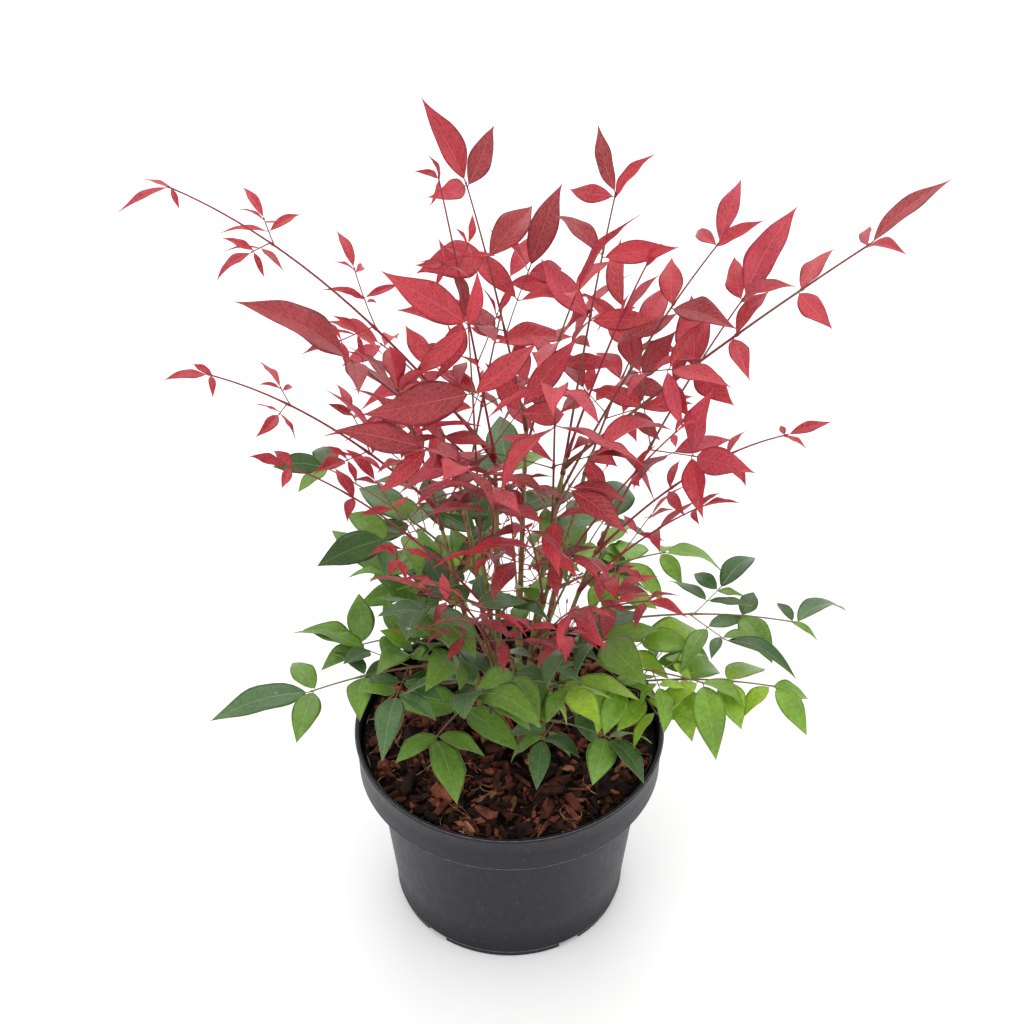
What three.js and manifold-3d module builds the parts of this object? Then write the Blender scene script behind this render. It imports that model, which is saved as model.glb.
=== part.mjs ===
// Heavenly bamboo (Nandina domestica) in a round nursery pot.
// Millimetres, +Z up. The origin is on the floor, under the middle of the pot.
// Each cane, each compound leaf (frond), the pot, the root ball and the mulch is one closed solid.
import * as THREE from "three";
import { mergeVertices } from "three/addons/utils/BufferGeometryUtils.js";
import Module from "manifold-3d";

const wasm = await Module();
wasm.setup();

// ---------------------------------------------------------------- pot
const POT_HEIGHT = 135;
const RIM_RADIUS = 95;
const RIM_WIDTH = 3;
const RIM_DEPTH = 3;
const COLLAR_TOP_RADIUS = 93.9;
const COLLAR_FOOT_RADIUS = 92.8;
const COLLAR_FOOT_Z = 107.5;
const BODY_TOP_RADIUS = 82.7;
const BODY_FOOT_RADIUS = 72;
const FOOT_RING_RADIUS = 71.3;
const FOOT_RING_HEIGHT = 5;
const POT_WALL = 1.5;
const POT_FLOOR = 2.4;
const POT_SIDES = 32;
const DRAIN_NOTCHES = 5;
const DRAIN_NOTCH = { width: 15, depth: 9, height: 4, bearing: 14 };

// ---------------------------------------------------------------- filling
const CLEAR = 0.3;
const ROOT_BALL_TOP = 118;
const MULCH_TOP = 126;
const MULCH_SIDES = 20;
const MULCH_RINGS = 3;
const MULCH_RELIEF = 2.2;
const MULCH_WAVES = { x: 0.11, xShift: 1.3, y: 0.13, yShift: -0.4, skew: 0.29, skewShare: 0.5 };
const MULCH_BLEND = { waves: 0.6, fall: 0.4 };
const CANE_HOLE = 0.5;

// ---------------------------------------------------------------- canes
const CANE_SIDES = 6;
const CANE_STEPS = 5;
const CANE_FLARE = 1.35;
const CANE_FLARE_SHARE = 0.05;
const CANE_LEAN_SHARE = 0.15;
const CANE_FOOT_Z = ROOT_BALL_TOP + CLEAR;
const CANES = [
  { name: "cane_main", foot: [-6, 2], top: [-8, 5, 352], radii: [2.6, 1.5] },
  { name: "cane_back", foot: [5, 13], top: [10, 38, 345], radii: [2.3, 1.4] },
  { name: "cane_centre_right", foot: [9, 4], top: [33, 16, 338], radii: [2.4, 1.4] },
  { name: "cane_front", foot: [-5, -9], top: [-16, -28, 305], radii: [2.3, 1.4] },
  { name: "cane_front_right", foot: [6, -8], top: [26, -27, 292], radii: [2.4, 1.5] },
  { name: "cane_left", foot: [-15, -3], top: [-44, 4, 316], radii: [2.2, 1.3] },
  { name: "cane_back_left", foot: [-9, 13], top: [-32, 54, 300], radii: [2.2, 1.3] },
  { name: "cane_back_right", foot: [15, 13], top: [48, 56, 305], radii: [2.3, 1.4] },
  { name: "cane_right", foot: [19, -4], top: [52, -6, 290], radii: [2.2, 1.3] },
];

// ---------------------------------------------------------------- compound leaves
const RACHIS_STEPS = { bare: 2, leafy: 2 };
const RACHIS_RADII = [2.0, 1.25];
const STALK_RADII = [0.85, 0.95];
const TWIG_SIDES = 3;
const PINNA_SHARE = 0.42;
const PINNA_SPREAD = 58;
const LEAFLET_SPREAD = 68;
const PAIR_PLACE = 0.52;
const LEAFLET_STALK = 1.6;
const STALK_STAGGER = 1.3;
const SIDE_LEAFLET = 0.72;
const SIDE_BROADER = 1.15;
const PAIR_LEAFLET = 0.95;
const SIDE_SETBACK = [1, 1.8];
const PINNA_LEAF = { share: 1.25, least: 8 };
const LEAST_DROOP = 0.5;
const SIZE_SPREAD = 0.18;
const YAW_SPREAD = 9;
const ROLL_SPREAD = 22;
const BELLY = 0.42;
const BLADE_FULLNESS = 1.08;
const FACE_UP = 0.5;
const BLADE_THICKNESS = 0.75;
const BLADE_ROOT_RADIUS = 0.36;
const INWARD_FACING = 0.15;
const SEAM_TOLERANCE = 0.01;
const BLADE_CLEAR = 1;
const LIMB_CLEAR = 0.7;
const CLUSTERS = 10;
const PINNA_CLUSTER = { 1: 4, "-1": 1 };
const SWAYS = [0, 7, -7, 14, -14, 21, -21, 28, -28, 36, -36];
const TURNS = [[0, 0], [14, 0], [-14, 0], [0, 13], [0, -13], [26, 8], [-26, 8], [12, -20], [-12, 20]];

// How the leaflets of a frond look: width as a share of length, degrees of droop,
// how far the tip curls down as a share of length, and the colour.
const MATURE = { slim: 0.31, droop: 22, curl: 0.1, colour: 0xb0283c };
const YOUNG = { slim: 0.27, droop: 8, curl: 0.06, colour: 0xc02a44 };
const DUSKY = { slim: 0.34, droop: 26, curl: 0.12, colour: 0x7d2430 };
const GREEN = { slim: 0.4, droop: 18, curl: 0.12, colour: 0x3c6a2c };
const LIME = { slim: 0.42, droop: 22, curl: 0.14, colour: 0x8fb531 };

// name, cane, share of the cane's height, end node, end leaflet's length, leaflets on the pinnae
// of each node from the base, look, and what differs from the usual: bow and bare foot of the
// rachis as shares of its length, how many times as thick it is, how closely its leaflets stand,
// degrees of droop, side and paired leaflets as shares of the end one, pinnae as a share of the
// rachis beyond them, degrees that the end leaflets are turned aside, and times the usual width.
const FRONDS = [
  ["red_left_high", 0, 0.95, [-175, 20, 510], 32, [5, 3], YOUNG,
    { bow: 0.2, bare: 0.38, side: 0.5, reach: 0.28, swing: 55, slim: 0.78 }],
  ["red_left_middle", 5, 0.96, [-160, -10, 412], 29, [3, 3], YOUNG,
    { bow: 0.17, bare: 0.3, side: 0.55, reach: 0.26, swing: 25, slim: 0.85 }],
  ["red_left_low", 3, 0.7, [-118, -40, 374], 24, [3, 1], YOUNG, { bow: 0.16 }],
  ["red_top_tall", 1, 0.965, [-23, 60, 487], 57, [3, 1], MATURE,
    { bare: 0.36, droop: -4, side: 0.6, swing: 8 }],
  ["red_top_young", 0, 0.96, [-36, 18, 517], 22, [3, 3], YOUNG,
    { bow: 0.05, bare: 0.34, reach: 0.28, swing: 60, slim: 0.8 }],
  ["red_top_centre", 2, 0.93, [57, 60, 480], 39, [1, 1], MATURE,
    { bare: 0.53, droop: 10, pair: 1.1, swing: 40, slim: 0.8 }],
  ["red_top_bud", 2, 0.985, [74, 32, 455], 14, [1], YOUNG, { bare: 0.7, close: 0.35 }],
  ["red_top_right", 2, 0.85, [112, 41, 461], 47, [3, 1], MATURE,
    { bare: 0.46, droop: 4, swing: 40, slim: 0.85 }],
  ["red_right_far", 2, 0.955, [185, 0, 488], 51, [1, 1, 1], MATURE,
    { bow: 0.04, bare: 0.38, thick: 1.3, droop: 6, side: 0.55, pair: 0.75, swing: 32, slim: 0.78 }],
  ["red_right_middle", 8, 0.95, [153, 0, 363], 30, [1, 1], YOUNG,
    { bow: 0.22, side: 0.5, pair: 0.8, swing: 25, slim: 0.85 }],
  ["red_right_trio", 4, 0.88, [88, -42, 399], 19, [1], YOUNG, { bare: 0.7 }],
  ["red_right_low", 8, 0.78, [104, -32, 338], 27, [3, 1], YOUNG, { bare: 0.35 }],
  ["red_left_broad", 0, 0.88, [-81, -34, 439], 86, [3, 1], MATURE,
    { bow: 0.05, droop: 4, side: 0.42, pair: 0.55, reach: 0.3, swing: -2 }],
  ["red_centre_left", 3, 0.985, [-21, -20, 452], 58, [3, 1], MATURE,
    { bare: 0.35, droop: 2, side: 0.6, swing: 44, slim: 0.88 }],
  ["red_centre_back", 1, 0.9, [36, 20, 444], 50, [3, 1], MATURE,
    { bare: 0.35, droop: 4, swing: 20, slim: 0.8 }],
  ["red_front_star", 3, 0.93, [-24, -74, 402], 46, [1, 1], MATURE, { bare: 0.5, droop: 15, swing: 40 }],
  ["red_front_low_left", 3, 0.52, [-38, -74, 318], 30, [3], YOUNG, { bare: 0.5, droop: 4 }],
  ["red_front_low_centre", 3, 0.38, [-19, -78, 296], 32, [3], MATURE, { bare: 0.5, droop: 8 }],
  ["red_front_low_right", 4, 0.62, [76, -62, 296], 32, [3, 1], MATURE, { droop: 12 }],
  ["red_front_right_star", 4, 0.5, [36, -76, 303], 34, [3], MATURE, { bare: 0.5, droop: 30 }],
  ["dusky_right_broad", 4, 0.95, [46, -50, 392], 58, [1, 1], DUSKY,
    { bare: 0.5, droop: 46, side: 0.6, pair: 0.6, swing: 50, slim: 0.9 }],
  ["red_centre_bright", 2, 0.78, [24, -48, 432], 54, [3, 1], MATURE, { bare: 0.35, droop: 34 }],
  ["red_centre_low", 4, 0.8, [10, -66, 352], 36, [3, 1], DUSKY, { droop: 20 }],
  ["red_left_cluster", 5, 0.88, [-58, -34, 420], 42, [3, 1], MATURE, { bare: 0.3, droop: -10, slim: 0.8 }],
  ["dusky_right_upper", 8, 0.985, [125, 20, 440], 48, [3, 1], MATURE,
    { bare: 0.36, droop: 2, swing: 12, slim: 1.1 }],
  ["red_heart", 0, 0.8, [-12, -44, 372], 38, [3, 1], DUSKY, { droop: 14 }],
  ["green_left_far", 5, 0.36, [-114, -48, 212], 55, [3, 1], GREEN,
    { droop: 2, side: 0.62, pair: 0.6, swing: -12, slim: 0.85 }],
  ["green_left_upper", 5, 0.48, [-90, -4, 206], 38, [3, 1], GREEN,
    { bare: 0.3, droop: -35, pair: 0.8, swing: -30 }],
  ["green_left_back", 6, 0.62, [-108, 60, 290], 38, [3], GREEN, { bare: 0.35 }],
  ["green_left_lime", 6, 0.5, [-73, 28, 232], 42, [3], LIME, { bare: 0.35, droop: -15, swing: -45 }],
  ["green_front_left", 5, 0.22, [-43, -52, 178], 41, [1], GREEN, { droop: 10, side: 0.8, swing: 45 }],
  ["green_front", 3, 0.3, [-20, -62, 226], 46, [3, 1], GREEN,
    { bare: 0.3, droop: 6, side: 0.8, swing: 70 }],
  ["green_front_dark", 0, 0.45, [-20, -52, 284], 46, [3, 1], GREEN,
    { bow: 0.2, bare: 0.3, droop: -4, pair: 0.7, swing: 62 }],
  ["green_centre_left", 3, 0.36, [-48, -38, 266], 42, [3, 1], GREEN, { bare: 0.3, droop: 8 }],
  ["green_centre_right", 4, 0.42, [54, -40, 246], 46, [3, 1], GREEN, { bare: 0.3, droop: 10, swing: -40 }],
  ["green_centre_low", 0, 0.29, [2, -50, 228], 44, [3, 1], GREEN,
    { bow: 0.25, bare: 0.35, droop: 8, swing: 35 }],
  ["lime_front_right", 4, 0.3, [34, -64, 230], 36, [3], LIME, { droop: 30 }],
  ["green_front_right", 4, 0.18, [58, -58, 184], 38, [3], GREEN, { droop: 24 }],
  ["lime_right", 8, 0.42, [112, -42, 213], 42, [3, 3], LIME, { bare: 0.35, pair: 0.8, swing: -60 }],
  ["green_right_far", 8, 0.26, [154, -40, 208], 38, [3, 1, 1], LIME, { bow: 0.14, swing: -50 }],
  ["green_right_upper", 2, 0.38, [171, 14, 208], 50, [3, 1], GREEN,
    { bow: 0.16, bare: 0.6, droop: 4, side: 0.45, pair: 0.65, swing: 46, slim: 0.85 }],
  ["green_right_back", 7, 0.55, [93, 42, 239], 36, [3, 1], LIME, { bare: 0.35 }],
];

// The side turned away carries the same mix: rows of fronds fanned out by angle.
const FANS = [
  { name: "red_back", cane: [7, 6, 1], at: 0.93, from: 52, step: 38, reach: 122, height: 354, leaf: 42,
    pinnae: [3, 1], habit: MATURE },
  { name: "green_back", cane: [7, 1, 6], at: 0.44, from: 56, step: 35, reach: 104, height: 226, leaf: 46,
    pinnae: [3, 1], habit: GREEN },
];
const FAN_RISE = 34;
const FAN_STAGGER = 0.07;
const USUAL_BOW = 0.11;
const USUAL_BARE = 0.4;

// ---------------------------------------------------------------- finishes
const POT_COLOUR = 0x2b2f36;
const SOIL_COLOUR = 0x2a1a12;
const MULCH_COLOUR = 0x5a2f20;
const CANE_COLOUR = 0x6b5a34;

const UP = new THREE.Vector3(0, 0, 1);
const LEAST_GAP = 1e-9;
const WELD = 1e-5;

// ---------------------------------------------------------------- seeded chance
const HASH_START = 2166136261;
const HASH_PRIME = 16777619;
const HASH_MIX = 1540483477;
const HASH_RANGE = 4294967296;
const KEY = { yaw: 1, roll: 2, droop: 3, size: 4, stalk: 5, pair: 7, end: 8, hand: 2 };

/** A number from 0 to 1 that depends only on its keys. */
function chance(...keys) {
  let hash = HASH_START;
  for (const key of keys) {
    hash = Math.imul(hash ^ key, HASH_PRIME);
    hash ^= hash >>> 13;
    hash = Math.imul(hash, HASH_MIX);
    hash ^= hash >>> 15;
  }
  return (hash >>> 0) / HASH_RANGE;
}

/** A number from -amount to amount that depends only on its keys. */
function vary(amount, ...keys) {
  return amount * (2 * chance(...keys) - 1);
}

// ---------------------------------------------------------------- solids
/** A geometry as a closed manifold solid. */
function toSolid(geometry) {
  geometry.deleteAttribute("normal");
  geometry.deleteAttribute("uv");
  const merged = mergeVertices(geometry, WELD);
  return new wasm.Manifold(new wasm.Mesh({
    numProp: 3,
    vertProperties: Float32Array.from(merged.attributes.position.array),
    triVerts: Uint32Array.from(merged.index.array),
  }));
}

/** A manifold solid as a geometry. */
function toGeometry(solid) {
  const mesh = solid.getMesh();
  const geometry = new THREE.BufferGeometry();
  geometry.setAttribute("position", new THREE.BufferAttribute(mesh.vertProperties, 3));
  geometry.setIndex(new THREE.BufferAttribute(mesh.triVerts, 1));
  geometry.computeVertexNormals();
  return geometry;
}

/** A turned solid from a profile of radii and heights that starts and ends on the axis. */
function turned(profile, sides) {
  const points = profile.map(([radius, z]) => new THREE.Vector2(radius, z));
  return new THREE.LatheGeometry(points, sides).rotateX(Math.PI / 2);
}

/** A tapering limb along a curve: a cylinder of some sides, bent and sized at shares of the curve. */
function limbGeometry(curve, radiusAt, sides, shares) {
  const steps = shares.length - 1;
  const geometry = new THREE.CylinderGeometry(1, 1, 1, sides, steps);
  const position = geometry.attributes.position;
  const across = curve.getPoint(1).sub(curve.getPoint(0)).cross(UP).normalize();
  for (let i = 0; i < position.count; i++) {
    const share = shares[Math.round(steps * (position.getY(i) + 0.5))];
    const tangent = curve.getTangent(share);
    const side = across.clone().addScaledVector(tangent, -across.dot(tangent)).normalize();
    const normal = new THREE.Vector3().crossVectors(side, tangent);
    const point = curve.getPoint(share);
    point.addScaledVector(side, position.getX(i) * radiusAt(share));
    point.addScaledVector(normal, position.getZ(i) * radiusAt(share));
    position.setXYZ(i, point.x, point.y, point.z);
  }
  return geometry;
}

/** Shares from 0 to 1 in even steps. */
function evenShares(steps) {
  return Array.from({ length: steps + 1 }, (_, i) => i / steps);
}

// ---------------------------------------------------------------- pot and filling
/** Outer radius of the pot's tapered body at a height. */
function bodyRadius(z) {
  return THREE.MathUtils.mapLinear(z, FOOT_RING_HEIGHT, COLLAR_FOOT_Z, BODY_FOOT_RADIUS, BODY_TOP_RADIUS);
}

function potSolid() {
  const innerFoot = FOOT_RING_RADIUS - POT_WALL;
  const ledgeZ = COLLAR_FOOT_Z + POT_WALL;
  const shell = toSolid(turned([
    [0, 0],
    [FOOT_RING_RADIUS, 0],
    [FOOT_RING_RADIUS, FOOT_RING_HEIGHT],
    [BODY_FOOT_RADIUS, FOOT_RING_HEIGHT],
    [bodyRadius(COLLAR_FOOT_Z), COLLAR_FOOT_Z],
    [COLLAR_FOOT_RADIUS, COLLAR_FOOT_Z],
    [COLLAR_TOP_RADIUS, POT_HEIGHT - RIM_DEPTH],
    [RIM_RADIUS, POT_HEIGHT - RIM_DEPTH],
    [RIM_RADIUS, POT_HEIGHT],
    [RIM_RADIUS - RIM_WIDTH, POT_HEIGHT],
    [COLLAR_FOOT_RADIUS - POT_WALL, ledgeZ],
    [bodyRadius(ledgeZ) - POT_WALL, ledgeZ],
    [innerFoot, POT_FLOOR],
    [0, POT_FLOOR],
  ], POT_SIDES));
  const notches = [];
  for (let i = 0; i < DRAIN_NOTCHES; i++) {
    const angle = THREE.MathUtils.degToRad(DRAIN_NOTCH.bearing) + (2 * Math.PI * i) / DRAIN_NOTCHES;
    const notch = new THREE.BoxGeometry(DRAIN_NOTCH.depth, DRAIN_NOTCH.width, 2 * DRAIN_NOTCH.height);
    notch.translate(FOOT_RING_RADIUS, 0, 0).rotateZ(angle);
    notches.push(toSolid(notch));
  }
  return shell.subtract(wasm.Manifold.union(notches));
}

/** The peaty root ball that fills the pot below the mulch. */
function rootBallSolid() {
  const ledgeZ = COLLAR_FOOT_Z + POT_WALL + CLEAR;
  const fit = (radius) => radius - POT_WALL - 2 * CLEAR;
  return toSolid(turned([
    [0, POT_FLOOR + CLEAR],
    [fit(FOOT_RING_RADIUS), POT_FLOOR + CLEAR],
    [fit(bodyRadius(ledgeZ)), ledgeZ],
    [fit(COLLAR_FOOT_RADIUS), ledgeZ],
    [fit(COLLAR_FOOT_RADIUS), ROOT_BALL_TOP],
    [0, ROOT_BALL_TOP],
  ], POT_SIDES));
}

/** The layer of bark chips: a disc with an uneven top, open round every cane. */
function mulchSolid(limbs) {
  const radius = COLLAR_FOOT_RADIUS - POT_WALL - 2 * CLEAR;
  const foot = ROOT_BALL_TOP + CLEAR;
  const profile = [[0, foot], [radius, foot]];
  for (let ring = MULCH_RINGS; ring >= 0; ring--) {
    profile.push([(radius * ring) / MULCH_RINGS, MULCH_TOP]);
  }
  const geometry = turned(profile, MULCH_SIDES);
  const position = geometry.attributes.position;
  for (let i = 0; i < position.count; i++) {
    if (position.getZ(i) > foot + CLEAR) {
      position.setZ(i, MULCH_TOP + mulchRelief(position.getX(i), position.getY(i)));
    }
  }
  const holes = limbs.map((limb) => toSolid(limbGeometry(limb.curve, (s) => limb.radiusAt(s) + CANE_HOLE,
    CANE_SIDES, evenShares(CANE_STEPS)).translate(0, 0, -CLEAR)));
  return toSolid(geometry).subtract(wasm.Manifold.union(holes));
}

/** Height of the mulch above its mean level: crossing waves, lower towards the wall. */
function mulchRelief(x, y) {
  const { x: kx, xShift, y: ky, yShift, skew, skewShare } = MULCH_WAVES;
  const wave = Math.sin(kx * x + xShift) * Math.cos(ky * y + yShift) + skewShare * Math.sin(skew * (x - y));
  const fall = (Math.hypot(x, y) / RIM_RADIUS) ** 2;
  return MULCH_RELIEF * (MULCH_BLEND.waves * wave - MULCH_BLEND.fall * fall);
}

// ---------------------------------------------------------------- canes
/** A cane's curve and its radius from foot to top. */
function caneLimb({ name, foot, top, radii }) {
  const start = new THREE.Vector3(foot[0], foot[1], CANE_FOOT_Z);
  const end = new THREE.Vector3(...top);
  const middle = start.clone().lerp(end, 0.5);
  middle.x = THREE.MathUtils.lerp(start.x, end.x, CANE_LEAN_SHARE);
  middle.y = THREE.MathUtils.lerp(start.y, end.y, CANE_LEAN_SHARE);
  const radiusAt = (share) => {
    const flare = Math.max(0, 1 - share / CANE_FLARE_SHARE);
    return THREE.MathUtils.lerp(radii[0], radii[1], share) * (1 + (CANE_FLARE - 1) * flare);
  };
  return { name, radiusAt, curve: new THREE.QuadraticBezierCurve3(start, middle, end) };
}

/** A cane's solid, its foot cut flat and level. */
function caneSolid(limb) {
  const solid = toSolid(limbGeometry(limb.curve, limb.radiusAt, CANE_SIDES, evenShares(CANE_STEPS)));
  return solid.trimByPlane([0, 0, 1], CANE_FOOT_Z + LEAST_GAP);
}

// ---------------------------------------------------------------- room between pieces
/** The least distance between the segments ab and cd. */
function segmentGap(a, b, c, d) {
  const u = b.clone().sub(a);
  const v = d.clone().sub(c);
  const w = a.clone().sub(c);
  const uu = u.dot(u);
  const vv = v.dot(v);
  const uv = u.dot(v);
  const uw = u.dot(w);
  const vw = v.dot(w);
  const det = uu * vv - uv * uv;
  let s = det > LEAST_GAP ? THREE.MathUtils.clamp((uv * vw - vv * uw) / det, 0, 1) : 0;
  const t = THREE.MathUtils.clamp((uv * s + vw) / vv, 0, 1);
  s = THREE.MathUtils.clamp((uv * t - uw) / uu, 0, 1);
  return w.addScaledVector(u, s).addScaledVector(v, -t).length();
}

/** Whether the segment pq passes through the triangle abc. */
function pierces(p, q, a, b, c) {
  const direction = q.clone().sub(p);
  const ab = b.clone().sub(a);
  const ac = c.clone().sub(a);
  const h = direction.clone().cross(ac);
  const det = ab.dot(h);
  if (Math.abs(det) < LEAST_GAP) {
    return false;
  }
  const s = p.clone().sub(a);
  const u = s.dot(h) / det;
  const k = s.cross(ab);
  const v = direction.dot(k) / det;
  const t = ac.dot(k) / det;
  return u >= 0 && v >= 0 && u + v <= 1 && t >= 0 && t <= 1;
}

/** The two triangles of a blade, moved along its normal and grown outwards. */
function layer(blade, shift, grow) {
  const [root, left, tip, right] = [blade.root, blade.left, blade.tip, blade.right].map((corner) => {
    const outward = corner.clone().sub(blade.centre).normalize();
    return corner.clone().addScaledVector(blade.normal, shift).addScaledVector(outward, grow);
  });
  return [[root, left, tip], [root, tip, right]];
}

/** Whether a segment comes within the room of a blade. */
function crossesBlade(from, to, blade, room) {
  return [-room, 0, room].some((shift) => layer(blade, shift, room)
    .some(([a, b, c]) => pierces(from, to, a, b, c)));
}

/** The edges and the midrib of a blade. */
function bladeLines({ root, left, tip, right }) {
  return [[root, left], [left, tip], [tip, right], [right, root], [root, tip]];
}

/** Whether two balls round two pieces touch. */
function near(one, other, room) {
  return one.centre.distanceTo(other.centre) < one.reach + other.reach + room;
}

/** Whether a blade keeps clear of the other fronds' limbs and of every other blade. */
function bladeFits(blade, space) {
  for (const limb of space.limbs) {
    const room = BLADE_CLEAR + limb.radius;
    if (limb.owner !== blade.owner && near(blade, limb, room)
      && crossesBlade(limb.from, limb.to, blade, room)) {
      return false;
    }
  }
  for (const other of space.blades) {
    const apart = other.owner !== blade.owner || other.cluster !== blade.cluster;
    if (apart && near(blade, other, BLADE_CLEAR) && (
      bladeLines(blade).some(([p, q]) => crossesBlade(p, q, other, BLADE_CLEAR)) ||
      bladeLines(other).some(([p, q]) => crossesBlade(p, q, blade, BLADE_CLEAR)))) {
      return false;
    }
  }
  return true;
}

/** Whether a limb keeps clear of the other fronds' limbs and blades. */
function limbFits(limb, space) {
  for (const other of space.limbs) {
    const room = limb.radius + other.radius + LIMB_CLEAR;
    if (other.owner !== limb.owner && near(limb, other, room)
      && segmentGap(limb.from, limb.to, other.from, other.to) < room) {
      return false;
    }
  }
  return !space.blades.some((blade) => blade.owner !== limb.owner
    && near(limb, blade, limb.radius + BLADE_CLEAR)
    && crossesBlade(limb.from, limb.to, blade, limb.radius + BLADE_CLEAR));
}

function limbPiece(owner, from, to, radius) {
  const centre = from.clone().lerp(to, 0.5);
  return { owner, from, to, radius, centre, reach: from.distanceTo(to) / 2 };
}

/** The straight pieces that a curve is tested as, from its start or from where it comes out. */
function curvePieces(owner, curve, radius, shares, start) {
  const points = shares.map((share) => curve.getPoint(Math.max(share, start)));
  return points.slice(1).map((point, i) => limbPiece(owner, points[i], point, radius));
}

// ---------------------------------------------------------------- growing the fronds
/** The facing side and the side direction of a frond where its rachis has this tangent. */
function facing(tangent, inward) {
  const normal = UP.clone().addScaledVector(inward, INWARD_FACING);
  normal.addScaledVector(tangent, -normal.dot(tangent)).normalize();
  return { normal, side: new THREE.Vector3().crossVectors(tangent, normal) };
}

/** One frond of the table, with every value filled in. */
function frondOf([name, cane, at, tip, leaf, pinnae, habit, extra], index) {
  return {
    name, cane, at, leaf, pinnae, habit, index,
    tip: new THREE.Vector3(...tip),
    bow: extra.bow ?? USUAL_BOW,
    bare: extra.bare ?? USUAL_BARE,
    thick: extra.thick ?? 1,
    close: extra.close ?? 1,
    droop: extra.droop ?? habit.droop,
    side: extra.side ?? SIDE_LEAFLET,
    pair: extra.pair ?? PAIR_LEAFLET,
    reach: extra.reach ?? PINNA_SHARE,
    swing: extra.swing ?? 0,
    slim: habit.slim * (extra.slim ?? 1),
  };
}

/** The rows of a fan of fronds, in the form of the table. */
function fanRows(fan) {
  return fan.cane.map((cane, i) => {
    const angle = THREE.MathUtils.degToRad(fan.from + fan.step * i);
    const reach = fan.reach * (1 - FAN_STAGGER * (i % 2));
    const height = fan.height + FAN_RISE * (i % 2);
    const tip = [reach * Math.cos(angle), reach * Math.sin(angle), height];
    const at = fan.at - FAN_STAGGER * i;
    return [`${fan.name}_${i + 1}`, cane, at, tip, fan.leaf, fan.pinnae, fan.habit, {}];
  });
}

/** Shares where the rachis bends: halfway up its bare foot, at every node, and halfway in a single step. */
function rachisShares({ bare, pinnae }) {
  const leafy = Math.max(pinnae.length, RACHIS_STEPS.leafy);
  const foot = evenShares(RACHIS_STEPS.bare).map((share) => share * bare);
  const rest = evenShares(leafy).map((share) => THREE.MathUtils.lerp(bare, 1, share));
  return [...foot, ...rest.slice(1)];
}

/** The rachis: an arch from its cane to the end node, swayed aside where it has to pass a limb. */
function growRachis(frond, canes, space) {
  const cane = canes[frond.cane];
  const start = cane.curve.getPoint(frond.at);
  const chord = frond.tip.clone().sub(start);
  const length = chord.length();
  const sideways = new THREE.Vector3().crossVectors(chord, UP).normalize();
  const hidden = (cane.radiusAt(frond.at) + 1) / length;
  const shares = rachisShares(frond);
  let best = null;
  for (const sway of SWAYS) {
    const middle = start.clone().lerp(frond.tip, 0.5);
    middle.addScaledVector(UP, frond.bow * length).addScaledVector(sideways, sway);
    const curve = new THREE.QuadraticBezierCurve3(start, middle, frond.tip);
    const pieces = curvePieces(frond.index, curve, RACHIS_RADII[0] * frond.thick, shares, hidden);
    best ??= { curve, pieces };
    if (pieces.every((piece) => limbFits(piece, space))) {
      best = { curve, pieces };
      break;
    }
  }
  space.limbs.push(...best.pieces);
  return best.curve;
}

/** A leaflet from its root along a direction, its face towards the normal. */
function leafletAt(root, direction, facingNormal, length, broad, frond) {
  const side = new THREE.Vector3().crossVectors(direction, facingNormal).normalize();
  const normal = new THREE.Vector3().crossVectors(side, direction);
  const belly = root.clone().addScaledVector(direction, BELLY * length);
  const halfWidth = (frond.slim * broad * BLADE_FULLNESS * length) / 2;
  const tip = root.clone().addScaledVector(direction, length);
  tip.addScaledVector(normal, -frond.habit.curl * length);
  return {
    root, tip, belly, normal, side, direction, length, halfWidth,
    left: belly.clone().addScaledVector(side, -halfWidth),
    right: belly.clone().addScaledVector(side, halfWidth),
    centre: root.clone().lerp(tip, 0.5),
    reach: length / 2,
  };
}

/** The direction turned by yaw about the normal and by pitch about the side, in degrees. */
function turnedBy(direction, normal, yaw, pitch) {
  const side = new THREE.Vector3().crossVectors(direction, normal).normalize();
  return direction.clone()
    .applyAxisAngle(side, THREE.MathUtils.degToRad(pitch))
    .applyAxisAngle(normal, THREE.MathUtils.degToRad(yaw));
}

/** Tries the leaflet at each turn and keeps the first that fits. */
function growLeaflet(frond, cluster, root, direction, normal, length, broad, keys, space) {
  const yaw = vary(YAW_SPREAD, ...keys, KEY.yaw);
  const roll = THREE.MathUtils.degToRad(vary(ROLL_SPREAD, ...keys, KEY.roll));
  const droop = frond.droop * (LEAST_DROOP + chance(...keys, KEY.droop));
  const size = length * (1 + vary(SIZE_SPREAD, ...keys, KEY.size));
  for (const [turn, lift] of TURNS) {
    const lowered = turnedBy(direction, normal, yaw + turn, lift - droop);
    const face = normal.clone().lerp(UP, FACE_UP).applyAxisAngle(lowered, roll);
    const leaflet = leafletAt(root, lowered, face, size, broad, frond);
    leaflet.owner = frond.index;
    leaflet.cluster = cluster;
    if (bladeFits(leaflet, space)) {
      space.blades.push(leaflet);
      frond.leaflets.push(leaflet);
      return;
    }
  }
}

/** Leaflets round one node, turned by swing: one to each side, set back, and one along it at an end. */
function growNode(frond, cluster, root, direction, normal, length, isEnd, swing, keys, space) {
  const spread = LEAFLET_SPREAD * frond.close;
  const pair = [[spread, frond.side, SIDE_SETBACK[0]], [-spread, frond.side, SIDE_SETBACK[1]]];
  const ways = isEnd ? [[0, 1, 0], ...pair] : pair;
  ways.forEach(([angle, share, back], i) => {
    const way = turnedBy(direction, normal, angle + swing, 0);
    const base = root.clone().addScaledVector(direction, -back * LEAFLET_STALK);
    const broad = angle === 0 ? 1 : SIDE_BROADER;
    growLeaflet(frond, cluster, base, way, normal, length * share, broad, [...keys, i], space);
  });
}

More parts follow.
